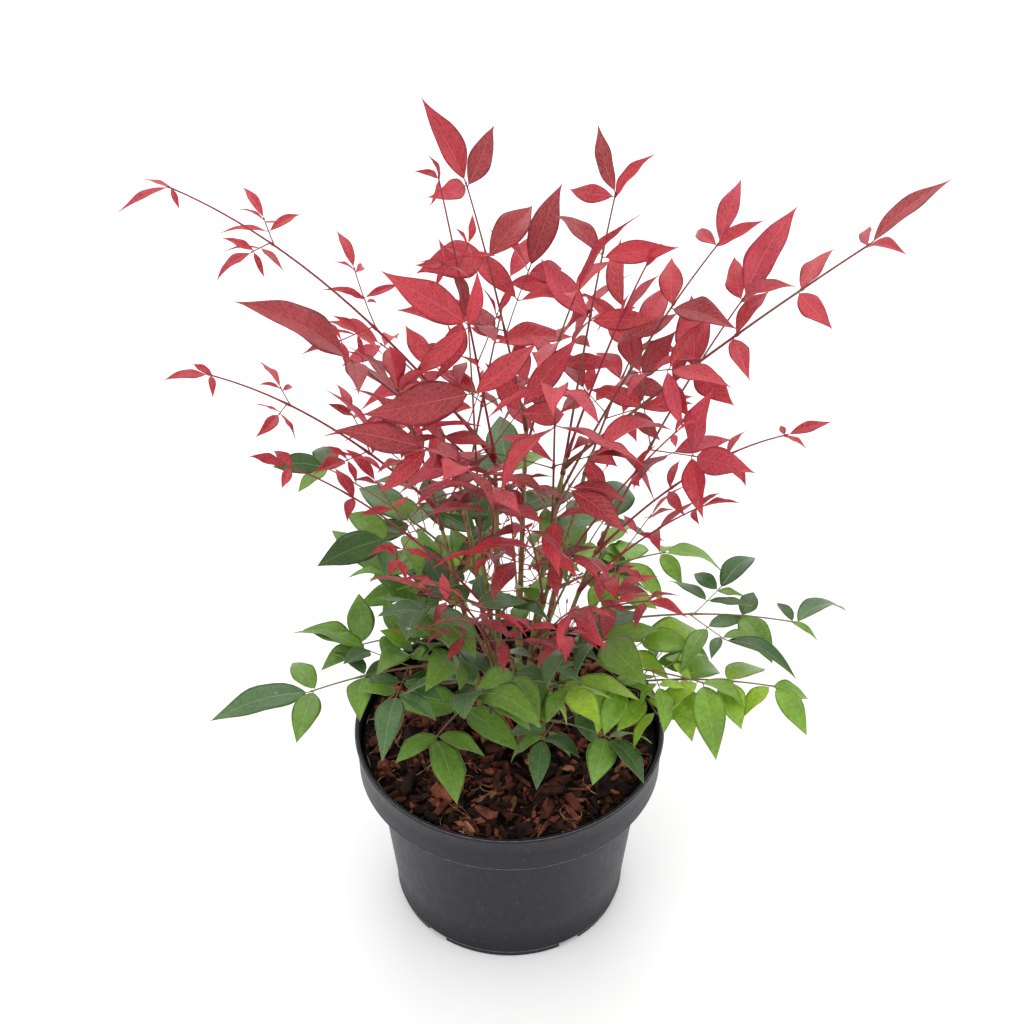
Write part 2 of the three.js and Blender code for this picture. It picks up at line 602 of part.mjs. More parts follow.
/** A pinna: a stalk with a pair of leaflets on the way if it has five, and three at its end. */
function growPinna(frond, cluster, root, direction, normal, length, count, keys, space) {
  for (const [turn, lift] of TURNS) {
    const way = turnedBy(direction, normal, turn + vary(YAW_SPREAD, ...keys, KEY.stalk), lift);
    const end = root.clone().addScaledVector(way, length);
    const piece = limbPiece(frond.index, root, end, STALK_RADII[0]);
    if (limbFits(piece, space)) {
      space.limbs.push(piece);
      frond.stalks.push({ from: root, to: end });
      const leaf = Math.min(frond.leaf, PINNA_LEAF.share * length + PINNA_LEAF.least);
      if (count > 3) {
        const pair = root.clone().lerp(end, PAIR_PLACE);
        growNode(frond, cluster, pair, way, normal, leaf, false, 0, [...keys, KEY.pair], space);
      }
      growNode(frond, cluster + 1, end, way, normal, leaf, true, 0, [...keys, KEY.end], space);
      return;
    }
  }
}

/** Everything on a frond's rachis, from its first node to its end. */
function growFrond(frond, space) {
  frond.leaflets = [];
  frond.stalks = [];
  const start = frond.curve.getPoint(0);
  const inward = start.clone().sub(frond.tip).setZ(0).normalize();
  const nodes = frond.pinnae.length;
  for (let node = nodes; node >= 0; node--) {
    const share = THREE.MathUtils.lerp(frond.bare, 1, node / nodes);
    const point = frond.curve.getPoint(share);
    const tangent = frond.curve.getTangent(share);
    const { normal } = facing(tangent, inward);
    const cluster = node * CLUSTERS;
    if (node === nodes) {
      const keys = [frond.index, node];
      growNode(frond, cluster, point, tangent, normal, frond.leaf, true, frond.swing, keys, space);
      continue;
    }
    const count = frond.pinnae[node];
    if (count === 1) {
      const leaf = (frond.leaf * frond.pair) / frond.side;
      growNode(frond, cluster, point, tangent, normal, leaf, false, 0, [frond.index, node], space);
      continue;
    }
    const length = frond.reach * point.distanceTo(frond.tip) + LEAFLET_STALK;
    for (const hand of [1, -1]) {
      const way = turnedBy(tangent, normal, hand * PINNA_SPREAD, 0);
      const keys = [frond.index, node, hand + KEY.hand];
      const foot = point.clone().addScaledVector(tangent, hand * STALK_STAGGER);
      growPinna(frond, cluster + PINNA_CLUSTER[hand], foot, way, normal, length, count, keys, space);
    }
  }
}

// ---------------------------------------------------------------- frond solids
const BLADE_SIDES = 3;
const BLADE_STEPS = 2;
// Where the belly ring of the three-sided cone has its corners, at half the foot's radius.
const BELLY_CORNER = Math.sin((2 * Math.PI) / BLADE_SIDES) / BLADE_STEPS;
const BELLY_DEEP = (1 - Math.cos((2 * Math.PI) / BLADE_SIDES)) / BLADE_STEPS;

/** A leaflet's solid: a three-sided cone flattened to a blade, its root sunk in the twig. */
function leafletSolid({ root, direction, side, normal, tip, length, halfWidth }) {
  const geometry = new THREE.ConeGeometry(1, 1, BLADE_SIDES, BLADE_STEPS);
  const position = geometry.attributes.position;
  for (let i = 0; i < position.count; i++) {
    const station = Math.round(BLADE_STEPS * (position.getY(i) + 0.5));
    const across = position.getX(i);
    const upward = position.getZ(i);
    const point = tip.clone();
    if (station === 0) {
      const ring = across === 0 && upward === 0 ? 0 : BLADE_ROOT_RADIUS;
      point.copy(root).addScaledVector(side, ring * across).addScaledVector(normal, ring * upward);
    } else if (station === 1) {
      point.copy(root).addScaledVector(direction, BELLY * length);
      point.addScaledVector(side, (halfWidth * across) / BELLY_CORNER);
      point.addScaledVector(normal, (BLADE_THICKNESS * upward) / BELLY_DEEP);
    }
    position.setXYZ(i, point.x, point.y, point.z);
  }
  return toSolid(geometry);
}

/** A straight stalk's solid, from the middle of its rachis to its end node. */
function stalkSolid({ from, to }) {
  const curve = new THREE.LineCurve3(from, to);
  const radiusAt = (share) => THREE.MathUtils.lerp(STALK_RADII[0], STALK_RADII[1], share);
  return toSolid(limbGeometry(curve, radiusAt, TWIG_SIDES, evenShares(1)));
}

/** A frond's one solid: rachis, stalks and leaflets fused, cut clear of its own cane. */
function frondSolid(frond, cane) {
  const radiusAt = (share) => frond.thick * THREE.MathUtils.lerp(RACHIS_RADII[0], RACHIS_RADII[1], share);
  const along = cane.curve.getTangent(frond.at);
  const away = frond.curve.getTangent(0);
  away.addScaledVector(along, -away.dot(along)).normalize();
  const seat = away.dot(frond.curve.getPoint(0)) + cane.radiusAt(frond.at) + CLEAR;
  const rachis = toSolid(limbGeometry(frond.curve, radiusAt, TWIG_SIDES, rachisShares(frond)))
    .trimByPlane(away.toArray(), seat);
  const pieces = [rachis, ...frond.stalks.map(stalkSolid), ...frond.leaflets.map(leafletSolid)];
  const parts = wasm.Manifold.union(pieces).simplify(SEAM_TOLERANCE).decompose();
  return parts.reduce((largest, part) => (part.volume() > largest.volume() ? part : largest));
}

// ---------------------------------------------------------------- the plant in its pot
const plant = new THREE.Group();

/** Adds one named piece in its own finish. */
function addPiece(name, solid, color, roughness, metalness = 0) {
  const material = new THREE.MeshStandardMaterial({ color, roughness, metalness });
  const mesh = new THREE.Mesh(toGeometry(solid), material);
  mesh.name = name;
  plant.add(mesh);
}

const canes = CANES.map(caneLimb);
const rows = [...FRONDS, ...FANS.flatMap(fanRows)];
const fronds = rows.map(frondOf);
const space = { limbs: [], blades: [] };
canes.forEach((limb, i) => {
  const owner = fronds.length + i;
  space.limbs.push(...curvePieces(owner, limb.curve, limb.radiusAt(0), evenShares(CANE_STEPS), 0));
});
for (const frond of fronds) {
  const own = space.limbs.filter((limb) => limb.owner === fronds.length + frond.cane);
  const others = { limbs: space.limbs.filter((limb) => !own.includes(limb)), blades: [] };
  const before = others.limbs.length;
  frond.curve = growRachis(frond, canes, others);
  space.limbs.push(...others.limbs.slice(before));
}
for (const frond of fronds) {
  growFrond(frond, space);
}

addPiece("pot", potSolid(), POT_COLOUR, 0.5);
addPiece("root_ball", rootBallSolid(), SOIL_COLOUR, 1);
addPiece("bark_mulch", mulchSolid(canes), MULCH_COLOUR, 0.95);
for (const cane of canes) {
  addPiece(cane.name, caneSolid(cane), CANE_COLOUR, 0.6);
}
for (const frond of fronds) {
  addPiece(frond.name, frondSolid(frond, canes[frond.cane]), frond.habit.colour, 0.55);
}

export default plant;
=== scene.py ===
"""Heavenly bamboo in its nursery pot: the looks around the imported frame, in Blender 4.5.

The fronds grow by the same seeded rule as the solids do, in millimetres, and are then carried to
finer leaflets, veins and stalks. Every mesh is handed to Blender in metres, in the frame of the part.
"""

from __future__ import annotations

import logging
import math
from dataclasses import dataclass, field
from enum import Enum
from functools import lru_cache
from typing import Iterable, Sequence

import bpy
import numpy as np
from mathutils import Matrix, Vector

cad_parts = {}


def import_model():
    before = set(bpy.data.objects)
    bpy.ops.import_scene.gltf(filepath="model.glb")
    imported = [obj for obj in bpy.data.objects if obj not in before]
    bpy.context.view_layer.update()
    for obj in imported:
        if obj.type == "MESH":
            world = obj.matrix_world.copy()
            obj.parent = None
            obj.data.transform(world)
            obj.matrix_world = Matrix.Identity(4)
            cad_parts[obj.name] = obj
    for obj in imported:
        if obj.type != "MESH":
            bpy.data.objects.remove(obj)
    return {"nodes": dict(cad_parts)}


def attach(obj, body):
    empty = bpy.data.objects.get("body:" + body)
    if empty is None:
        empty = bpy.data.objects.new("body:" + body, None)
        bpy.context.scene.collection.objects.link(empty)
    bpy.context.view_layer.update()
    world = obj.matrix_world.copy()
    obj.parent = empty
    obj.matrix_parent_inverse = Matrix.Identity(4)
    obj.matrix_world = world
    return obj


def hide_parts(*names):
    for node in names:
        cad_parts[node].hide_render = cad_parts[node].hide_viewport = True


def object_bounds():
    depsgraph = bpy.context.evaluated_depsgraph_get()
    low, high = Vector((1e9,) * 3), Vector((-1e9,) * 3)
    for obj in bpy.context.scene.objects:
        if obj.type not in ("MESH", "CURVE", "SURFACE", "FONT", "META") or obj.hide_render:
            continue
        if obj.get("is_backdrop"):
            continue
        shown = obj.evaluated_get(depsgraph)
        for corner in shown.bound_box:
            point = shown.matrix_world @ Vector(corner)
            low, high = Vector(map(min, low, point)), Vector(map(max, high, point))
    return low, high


LOG = logging.getLogger("heavenly_bamboo")
BODY = "root"
MM = 0.001
UP = np.array([0.0, 0.0, 1.0])
LEAST = 1e-9
Array = np.ndarray
Values = float | Array
Pair = tuple[float, float]
Triple = tuple[float, float, float]
Ints = tuple[int, ...]
Colour = Triple
Socket = bpy.types.NodeSocket
Material = bpy.types.Material
Piece = bpy.types.Object
BLACK: Colour = (0, 0, 0)


# -------------------------------- small geometry
def vec(*values: float) -> Array:
    """A point or direction as an array of floats."""
    return np.array(values, float)


def unit(vector: Array) -> Array:
    """The vector at length one."""
    return vector / np.linalg.norm(vector)


def mix(low: Values, high: Values, share: Values) -> Values:
    """The value at a share of the way from low to high."""
    return low + (high - low) * share


def dot(one: Array, two: Array) -> Array:
    """The dot product along the last axis, of arrays that broadcast."""
    return (one * two).sum(axis=-1)


def full_turn(count: int) -> Array:
    """Angles in radians that share out a full turn."""
    return 2 * math.pi * np.arange(count) / count


def polar(radius: Values, angle: Array, z: Values) -> Array:
    """Points round the upright axis, from radii, angles and heights that broadcast."""
    return np.stack(np.broadcast_arrays(radius * np.cos(angle), radius * np.sin(angle), z), axis=-1)


def turn(vector: Array, axis: Array, degrees: float) -> Array:
    """Turns a vector about an axis.

    Args:
        vector: What is turned.
        axis: Direction of the axis, of length one.
        degrees: How far, by the right-hand rule.

    Returns:
        The turned vector.
    """
    angle = math.radians(degrees)
    along = axis * float(vector @ axis)
    return along + (vector - along) * math.cos(angle) + np.cross(axis, vector) * math.sin(angle)


def turned(direction: Array, normal: Array, yaw: float, pitch: float = 0) -> Array:
    """The direction turned by pitch about the side, then by yaw about the normal, in degrees."""
    side = unit(np.cross(direction, normal))
    return turn(turn(direction, side, pitch), normal, yaw)


@dataclass(frozen=True)
class Arch:
    """A quadratic Bezier curve, which every limb follows."""

    start: Array
    middle: Array
    end: Array

    def point(self, share: float) -> Array:
        """The point at a share of the curve."""
        rest = 1 - share
        return self.start * rest**2 + self.middle * (2 * rest * share) + self.end * share**2

    def tangent(self, share: float, step: float = 1e-4) -> Array:
        """The direction of the curve at a share of it."""
        return unit(self.point(min(1.0, share + step)) - self.point(max(0.0, share - step)))

    def points(self, shares: Iterable[float]) -> Array:
        """The points at several shares of the curve, one a row."""
        return np.array([self.point(share) for share in shares])


# -------------------------------- seeded chance
HASH_START = 2166136261
HASH_PRIME = 16777619
HASH_MIX = 1540483477
WORD = 0xFFFFFFFF


def chance(*keys: int) -> float:
    """A number from 0 to 1 that depends only on its keys.

    Args:
        keys: Whole numbers that say what is drawn, and for which.

    Returns:
        The number.
    """
    value = HASH_START
    for key in keys:
        value = ((value ^ key) * HASH_PRIME) & WORD
        value ^= value >> 13
        value = (value * HASH_MIX) & WORD
        value ^= value >> 15
    return value / (WORD + 1)


def vary(amount: float, *keys: int) -> float:
    """A number from -amount to amount that depends only on its keys."""
    return amount * (2 * chance(*keys) - 1)


class Key(int, Enum):
    """What a draw of chance is for."""

    YAW = 1
    ROLL = 2
    DROOP = 3
    SIZE = 4
    STALK = 5
    PAIR = 7
    END = 8
    FINER = 21
    TONE = 31
    FOLD = 32
    TWIST = 33
    WAVE = 34
    SICKLE = 35
    BROAD = 36
    PHASE = 37
    SAG = 38
    HOOK = 39
    ARCH = 40
    SPRIG = 41


# -------------------------------- mesh drafts
class MeshDraft:
    """Points and faces in millimetres, gathered from many shapes and built as one mesh in metres."""

    def __init__(self) -> None:
        """Starts with nothing in it."""
        self._points: list[Array] = []
        self._faces: list[Array] = []
        self._count = 0

    def add(self, points: Array, *faces: Array) -> None:
        """Adds a shape.

        Args:
            points: One point a row.
            faces: Arrays of faces, one face a row, that count from the shape's first point.
        """
        self._points.append(points.reshape(-1, 3))
        self._faces.extend(group + self._count for group in faces if len(group))
        self._count += len(self._points[-1])

    def build(self, name: str, material: Material, smooth: bool = True) -> Piece:
        """Makes the mesh object and links it to the scene.

        Args:
            name: The piece's name.
            material: Its finish.
            smooth: Whether its faces are shaded smooth.

        Returns:
            The new object.
        """
        mesh = bpy.data.meshes.new(name)
        sizes = np.concatenate([np.full(len(group), group.shape[1]) for group in self._faces])
        corners = np.concatenate([group.ravel() for group in self._faces])
        mesh.vertices.add(self._count)
        mesh.vertices.foreach_set("co", (np.concatenate(self._points) * MM).astype(np.float32).ravel())
        mesh.loops.add(len(corners))
        mesh.loops.foreach_set("vertex_index", corners.astype(np.int32))
        mesh.polygons.add(len(sizes))
        mesh.polygons.foreach_set("loop_start", np.concatenate([[0], np.cumsum(sizes)[:-1]]).astype(np.int32))
        mesh.polygons.foreach_set("use_smooth", np.full(len(sizes), smooth))
        mesh.update(calc_edges=True)
        mesh.validate()
        mesh.materials.append(material)
        piece = bpy.data.objects.new(name, mesh)
        bpy.context.scene.collection.objects.link(piece)
        return piece


def place(piece: Piece, replaces: Sequence[str] = ()) -> None:
    """Lets a piece ride on the part, and hides the CAD nodes that it stands for.

    Args:
        piece: The finished piece.
        replaces: The CAD nodes that it stands for.
    """
    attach(piece, BODY)
    if replaces:
        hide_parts(*replaces)
    LOG.info("%s: %d faces", piece.name, len(piece.data.polygons))


def faces(*corners: Values) -> Array:
    """Faces from the numbers of their first, second and further corners, one face a row."""
    return np.stack(np.broadcast_arrays(*corners), axis=-1).reshape(-1, len(corners))


@lru_cache(maxsize=None)
def tube_faces(tubes: int, rings: int, sides: int) -> tuple[Array, Array]:
    """The faces of several closed tubes that have the same number of rings and sides.

    Args:
        tubes: How many tubes.
        rings: Rings of points in each.
        sides: Points in each ring.

    Returns:
        The quads of the walls and the triangles of the flat ends.
    """
    ring, side = np.meshgrid(np.arange(rings - 1), np.arange(sides), indexing="ij")
    after = (side + 1) % sides
    low, high = ring * sides, (ring + 1) * sides
    wall = faces(low + side, low + after, high + after, high + side)
    fan = np.arange(1, sides - 1)
    ends = np.concatenate([faces(0, fan + 1, fan), (rings - 1) * sides + faces(0, fan, fan + 1)])
    offsets = (np.arange(tubes) * rings * sides)[:, None, None]
    return (wall + offsets).reshape(-1, 4), (ends + offsets).reshape(-1, 3)


def add_tubes(draft: MeshDraft, paths: Array, radii: Array, sides: int, reference: Array) -> None:
    """Adds closed tubes along several paths of the same length.

    Args:
        draft: Where they go.
        paths: Points of each path, as tubes by rings by three.
        radii: Radius at each ring, as tubes by rings.
        sides: Points round each ring.
        reference: A direction that no path runs along.
    """
    tangent = np.gradient(paths, axis=1)
    across = np.cross(tangent, reference)
    across /= np.linalg.norm(across, axis=-1, keepdims=True) + LEAST
    upward = np.cross(across, tangent)
    upward /= np.linalg.norm(upward, axis=-1, keepdims=True) + LEAST
    angle = full_turn(sides)[:, None]
    ring = np.cos(angle) * across[:, :, None] + np.sin(angle) * upward[:, :, None]
    points = paths[:, :, None] + ring * radii[:, :, None, None]
    draft.add(points, *tube_faces(paths.shape[0], paths.shape[1], sides))


def add_tube(draft: MeshDraft, path: Array, radii: Array, sides: int, reference: Array = UP) -> None:
    """Adds one closed tube, as add_tubes does."""
    add_tubes(draft, path[None], radii[None], sides, reference)


# -------------------------------- finishes
class Nodes:
    """A node tree under construction, with short ways to add and join its nodes."""

    def __init__(self, name: str) -> None:
        """Starts a material with one Principled shader.

        Args:
            name: The material's name.
        """
        self.material = bpy.data.materials.new(name)
        self.material.use_nodes = True
        self.tree = self.material.node_tree
        self.shader = self.tree.nodes["Principled BSDF"]

    def add(self, kind: str, inputs: dict[str, object] | None = None, **settings: object) -> bpy.types.Node:
        """Adds a node.

        Args:
            kind: Blender's name of the node type.
            inputs: Input names with a value, or with an output socket to join.
            settings: The node's own settings.

        Returns:
            The new node.
        """
        node = self.tree.nodes.new(kind)
        for key, value in settings.items():
            setattr(node, key, value)
        for key, value in (inputs or {}).items():
            if isinstance(value, Socket):
                self.tree.links.new(value, node.inputs[key])
            else:
                node.inputs[key].default_value = value
        return node

    def place_of(self, stretch: Colour = (1, 1, 1)) -> Socket:
        """Object coordinates, stretched along the axes."""
        coordinates = self.add("ShaderNodeTexCoord").outputs["Object"]
        return self.add("ShaderNodeMapping", {"Vector": coordinates, "Scale": stretch}).outputs["Vector"]

    def noise(self, scale: float, detail: float = 3.0, stretch: Colour = (1, 1, 1)) -> Socket:
        """Noise from 0 to 1, with so many features to the metre."""
        inputs = {"Vector": self.place_of(stretch), "Scale": scale, "Detail": detail}
        return self.add("ShaderNodeTexNoise", inputs).outputs["Fac"]

    def ramp(self, factor: Socket, stops: Sequence[tuple[float, Colour]]) -> Socket:
        """A colour that runs through stops as the factor rises.

        Args:
            factor: What runs from 0 to 1.
            stops: Places on the way, each with its colour.

        Returns:
            The colour.
        """
        node = self.add("ShaderNodeValToRGB", {"Fac": factor})
        elements = node.color_ramp.elements
        while len(elements) < len(stops):
            elements.new(0.5)
        for element, (position, colour) in zip(elements, stops):
            element.position = position
            element.color = (*colour, 1)
        return node.outputs["Color"]

    def mask(self, factor: Socket, low: float, high: float, amount: float) -> Socket:
        """Nothing where the factor is below low, rising to an amount at high."""
        return self.ramp(factor, [(low, BLACK), (high, (amount,) * 3)])

    def mixed(self, factor: Socket, base: Socket, other: Colour) -> Socket:
        """Mixes a plain colour into another by a factor.

        Args:
            factor: How much of the plain colour shows.
            base: The colour underneath.
            other: The plain colour.

        Returns:
            The mixed colour.
        """
        node = self.add("ShaderNodeMixRGB", {"Fac": factor, "Color1": base, "Color2": (*other, 1)})
        return node.outputs["Color"]

    def span(self, factor: Socket, low: float, high: float) -> Socket:
        """The factor from 0 to 1 spread from low to high."""
        inputs = {"Value": factor, "To Min": low, "To Max": high}
        return self.add("ShaderNodeMapRange", inputs).outputs["Result"]

    def bump(self, height: Socket, millimetres: float, under: Socket | None = None) -> Socket:
        """A bumped normal, so many millimetres high, on top of another.

        Args:
            height: The relief, from 0 to 1.
            millimetres: How high 1 is.
            under: The normal underneath, if any.

        Returns:
            The normal.
        """
        inputs: dict[str, object] = {"Height": height, "Distance": millimetres * MM, "Strength": 1.0}
        if under is not None:
            inputs["Normal"] = under
        return self.add("ShaderNodeBump", inputs).outputs["Normal"]

    def dress(self, colour: Socket, roughness: Socket | float,
              normal: Socket | None = None, gloss: float = 0.5) -> Material:
        """Joins what has been made to the shader.

        Args:
            colour: The base colour.
            roughness: Its roughness, joined or as a constant.
            normal: Its bumped normal, if it has one.
            gloss: The specular level.

        Returns:
            The finished material.
        """
        for name, value in (("Base Color", colour), ("Roughness", roughness), ("Normal", normal)):
            if isinstance(value, Socket):
                self.tree.links.new(value, self.shader.inputs[name])
            elif value is not None:
                self.shader.inputs[name].default_value = value
        self.shader.inputs["Specular IOR Level"].default_value = gloss
        return self.material


def linear(red: int, green: int, blue: int) -> Colour:
    """A colour of eight-bit screen values as linear light."""
    return tuple(c / 12.92 if c <= 0.04045 else ((c + 0.055) / 1.055) ** 2.4
                 for c in (red / 255, green / 255, blue / 255))


def shaded(colour: Colour, factor: float) -> Colour:
    """The colour made lighter or darker."""
    return tuple(min(1.0, channel * factor) for channel in colour)


@dataclass(frozen=True)
class LeafFinish:
    """A satin leaf: one base colour with soft clouds, a fine net of pale veins and maybe dried drops.

    In all finishes a scale is in features to the metre and a relief in millimetres.
    """

    name: str
    colour: Colour
    vein: Colour
    drops: float
    net: float
    gloss: float
    chalk: Colour = linear(206, 216, 200)
    roughness: Pair = (0.36, 0.5)
    clouds: float = 0.28
    cloud_scale: float = 34
    mesh_scale: float = 420
    thread: float = 0.16
    skin_relief: float = 0.05

    def material(self) -> Material:
        """Makes the material.

        Returns:
            The finished material.
        """
        nodes = Nodes(self.name)
        clouds, grain = nodes.noise(self.cloud_scale, 2), nodes.noise(self.mesh_scale, 3)
        blend = nodes.add("ShaderNodeMath", {0: clouds, 1: grain}, operation="ADD")
        half = nodes.add("ShaderNodeMath", {0: blend.outputs[0], 1: 0.5}, operation="MULTIPLY").outputs[0]
        dark, light = shaded(self.colour, 1 - self.clouds), shaded(self.colour, 1 + self.clouds)
        skin = nodes.ramp(half, [(0.36, dark), (0.5, self.colour), (0.64, light)])
        cells = nodes.add("ShaderNodeTexVoronoi", {"Vector": nodes.place_of(), "Scale": self.mesh_scale},
                          feature="DISTANCE_TO_EDGE").outputs["Distance"]
        threads = nodes.ramp(cells, [(0.0, (self.net,) * 3), (self.thread, BLACK)])
        skin = nodes.mixed(threads, skin, self.vein)
        if self.drops:
            skin = nodes.mixed(nodes.mask(nodes.noise(170, 4), 0.7, 0.78, self.drops), skin, self.chalk)
        roughness = nodes.span(nodes.noise(300), *self.roughness)
        return nodes.dress(skin, roughness, nodes.bump(nodes.noise(900, 4), self.skin_relief), self.gloss)


@dataclass(frozen=True)
class TwigFinish:
    """Skin of a rachis, stalk or vein, with faint lengthwise streaks."""

    name: str
    colour: Colour
    tint: Colour
    roughness: float = 0.5
    streak_scale: float = 260
    streak_relief: float = 0.08

    def material(self) -> Material:
        """Makes the material.

        Returns:
            The finished material.
        """
        nodes = Nodes(self.name)
        streaks = nodes.noise(self.streak_scale, 3, (1, 1, 0.25))
        skin = nodes.ramp(streaks, [(0.35, self.colour), (0.65, self.tint)])
        roughness = nodes.span(streaks, self.roughness - 0.08, self.roughness + 0.1)
        return nodes.dress(skin, roughness, nodes.bump(streaks, self.streak_relief))


@dataclass(frozen=True)
class BarkFinish:
    """Bark of a cane or skin of a rachis: long fibres between two tones, and a warm flush in patches."""

    name: str
    light: Colour
    dark: Colour
    flush: Colour
    flushed: float
    fibre_scale: float = 700
    patch_scale: float = 55
    fibre_relief: float = 0.3

    def material(self) -> Material:
        """Makes the material.

        Returns:
            The finished material.
        """
        nodes = Nodes(self.name)
        fibres = nodes.noise(self.fibre_scale, 5, (1, 1, 0.12))
        patches = nodes.noise(self.patch_scale, 3)
        bark = nodes.ramp(fibres, [(0.3, self.dark), (0.7, self.light)])
        edge = 0.8 - 0.5 * self.flushed
        bark = nodes.mixed(nodes.mask(patches, edge - 0.1, edge + 0.1, 0.85), bark, self.flush)
        return nodes.dress(bark, nodes.span(patches, 0.45, 0.7), nodes.bump(fibres, self.fibre_relief))


@dataclass(frozen=True)
class PotFinish:
    """Matt moulded plastic with a fine orange-peel skin, specks of dust and short scuffs."""

    name: str = "pot_plastic_matt"
    plastic: Colour = linear(12, 11, 23)
    dust: Colour = linear(142, 144, 150)
    roughness: Pair = (0.36, 0.54)
    gloss: float = 0.34
    speck_scale: float = 900
    peel_relief: float = 0.05
    wall_relief: float = 0.6

    def material(self) -> Material:
        """Makes the material.

        Returns:
            The finished material.
        """
        nodes = Nodes(self.name)
        clouds = nodes.noise(14, 4)
        specks = nodes.mask(nodes.noise(self.speck_scale, 2), 0.65, 0.78, 0.3)
        scuffs = nodes.noise(210, 5, (1, 1, 0.6))
        body = nodes.ramp(clouds, [(0.35, shaded(self.plastic, 0.86)), (0.7, shaded(self.plastic, 1.2))])
        dusty = nodes.mixed(specks, body, self.dust)
        scuffed = nodes.mixed(nodes.mask(scuffs, 0.66, 0.85, 0.1), dusty, self.dust)
        wall = nodes.bump(clouds, self.wall_relief)
        peel = nodes.bump(nodes.noise(1500, 2), self.peel_relief, wall)
        return nodes.dress(scuffed, nodes.span(scuffs, *self.roughness), peel, self.gloss)


@dataclass(frozen=True)
class ChipFinish:
    """Bark chip or soil: fibrous layers between a dark and a light tone, with grit on top."""

    name: str
    dark: Colour
    light: Colour
    layer_relief: float = 0.6
    grit_relief: float = 0.2
    gloss: float = 0.15

    def material(self) -> Material:
        """Makes the material.

        Returns:
            The finished material.
        """
        nodes = Nodes(self.name)
        layers = nodes.noise(130, 3, (1, 0.7, 1.8))
        grit = nodes.noise(1600, 3)
        dark, light = shaded(self.dark, 0.7), shaded(self.light, 1.1)
        bark = nodes.ramp(layers, [(0.38, dark), (0.62, light)])
        relief = nodes.bump(grit, self.grit_relief, nodes.bump(layers, self.layer_relief))
        return nodes.dress(bark, nodes.span(grit, 0.55, 0.85), relief, self.gloss)


@dataclass(frozen=True)
class FloorFinish:
    """A plain, nearly white studio floor that glows a little, so that its shadows stay pale."""

    name: str = "studio_floor"
    colour: Colour = (0.99, 0.99, 0.99)
    glow: float = 0.035

    def material(self) -> Material:
        """Makes the material.

        Returns:
            The finished material.
        """
        nodes = Nodes(self.name)
        nodes.shader.inputs["Emission Color"].default_value = (1, 1, 1, 1)
        nodes.shader.inputs["Emission Strength"].default_value = self.glow
        cloud = nodes.ramp(nodes.noise(2, 1), [(0.3, shaded(self.colour, 0.99)), (0.7, self.colour)])
        return nodes.dress(cloud, 0.9, gloss=0.1)


# -------------------------------- the plan of the plant
RED_VEIN = linear(236, 132, 118)
GREEN_VEIN = linear(176, 196, 128)
VEIN_SHARE = 0.48
TWIG_FLUSHED = 0.72


class Tone(Enum):
    """The plain base colours that leaflets are dealt: crimsons, maroons, greens and limes."""

    CRIMSON = ("crimson", linear(177, 44, 60), "leaf_crimson")
    ROSE = ("rose", linear(180, 56, 74), "leaf_crimson")
    SCARLET = ("scarlet", linear(166, 29, 48), "leaf_young_red")
    WINE = ("wine", linear(146, 44, 54), "leaf_maroon")
    MAROON = ("maroon", linear(118, 42, 48), "leaf_maroon")
    GREEN = ("green", linear(96, 134, 44), "leaf_green")
    DEEP = ("deep_green", linear(40, 76, 20), "leaf_green")
    # Bluish green: partly the leaves' own tone, partly a painted bluish sheen.
    BLUISH = ("blue_green", linear(72, 104, 60), "leaf_green")
    LIME = ("lime", linear(138, 177, 38), "leaf_lime")
    FRESH = ("fresh_green", linear(108, 150, 38), "leaf_lime")

    def __init__(self, label: str, colour: Colour, slot: str) -> None:
        """Keeps the start of its pieces' names, its base colour and the record's material slot."""
        self.label, self.colour, self.slot = label, colour, slot

    @property
    def vein(self) -> Colour:
        """The colour of its veins, half way to the pale vein of its kind."""
        pale = RED_VEIN if self.colour[0] > self.colour[1] * 2 else GREEN_VEIN
        return tuple(mix(blade, light, VEIN_SHARE) for blade, light in zip(self.colour, pale))

    def finish(self) -> LeafFinish:
        """The finish of a blade: netted on the reds, glossier on the greens, with drops on the dark ones.

        Returns:
            The finish.
        """
        net, gloss = (0.3, 0.34) if self.colour[0] > self.colour[1] * 2 else (0.1, 0.44)
        drops = 0.6 if self.slot == "leaf_green" else 0.0
        return LeafFinish(f"{self.label}_leaf_skin", self.colour, self.vein, drops, net, gloss)


class TwigKind(Enum):
    """The kinds of rachis and stalk: wine red on young fronds, olive on ripe red ones, else green."""

    YOUNG = ("young_frond_twigs", "leaf_young_red",
             linear(156, 30, 60), linear(116, 24, 46), linear(140, 40, 52))
    RIPE = ("red_frond_twigs", "leaf_crimson",
            linear(138, 104, 64), linear(96, 62, 42), linear(122, 34, 48))
    GREEN = ("green_frond_twigs", "leaf_green",
             linear(122, 134, 76), linear(88, 98, 52), linear(132, 96, 62))

    def __init__(self, label: str, slot: str, light: Colour, dark: Colour, flush: Colour) -> None:
        """Keeps its piece's name and the record's material slot, and makes its finish."""
        self.label, self.slot = label, slot
        self.finish = BarkFinish(f"{label}_skin", light, dark, flush, TWIG_FLUSHED)


@dataclass(frozen=True)
class Habit:
    """How the leaflets of a frond look.

    Attributes:
        slim: Width as a share of length.
        droop: Degrees that a leaflet hangs.
        curl: How far the tip curls down, as a share of length.
        tones: The tones that its leaflets are dealt, repeated for weight.
        twigs: The kind of its rachis and stalks.
    """

    slim: float
    droop: float
    curl: float
    tones: tuple[Tone, ...]
    twigs: TwigKind


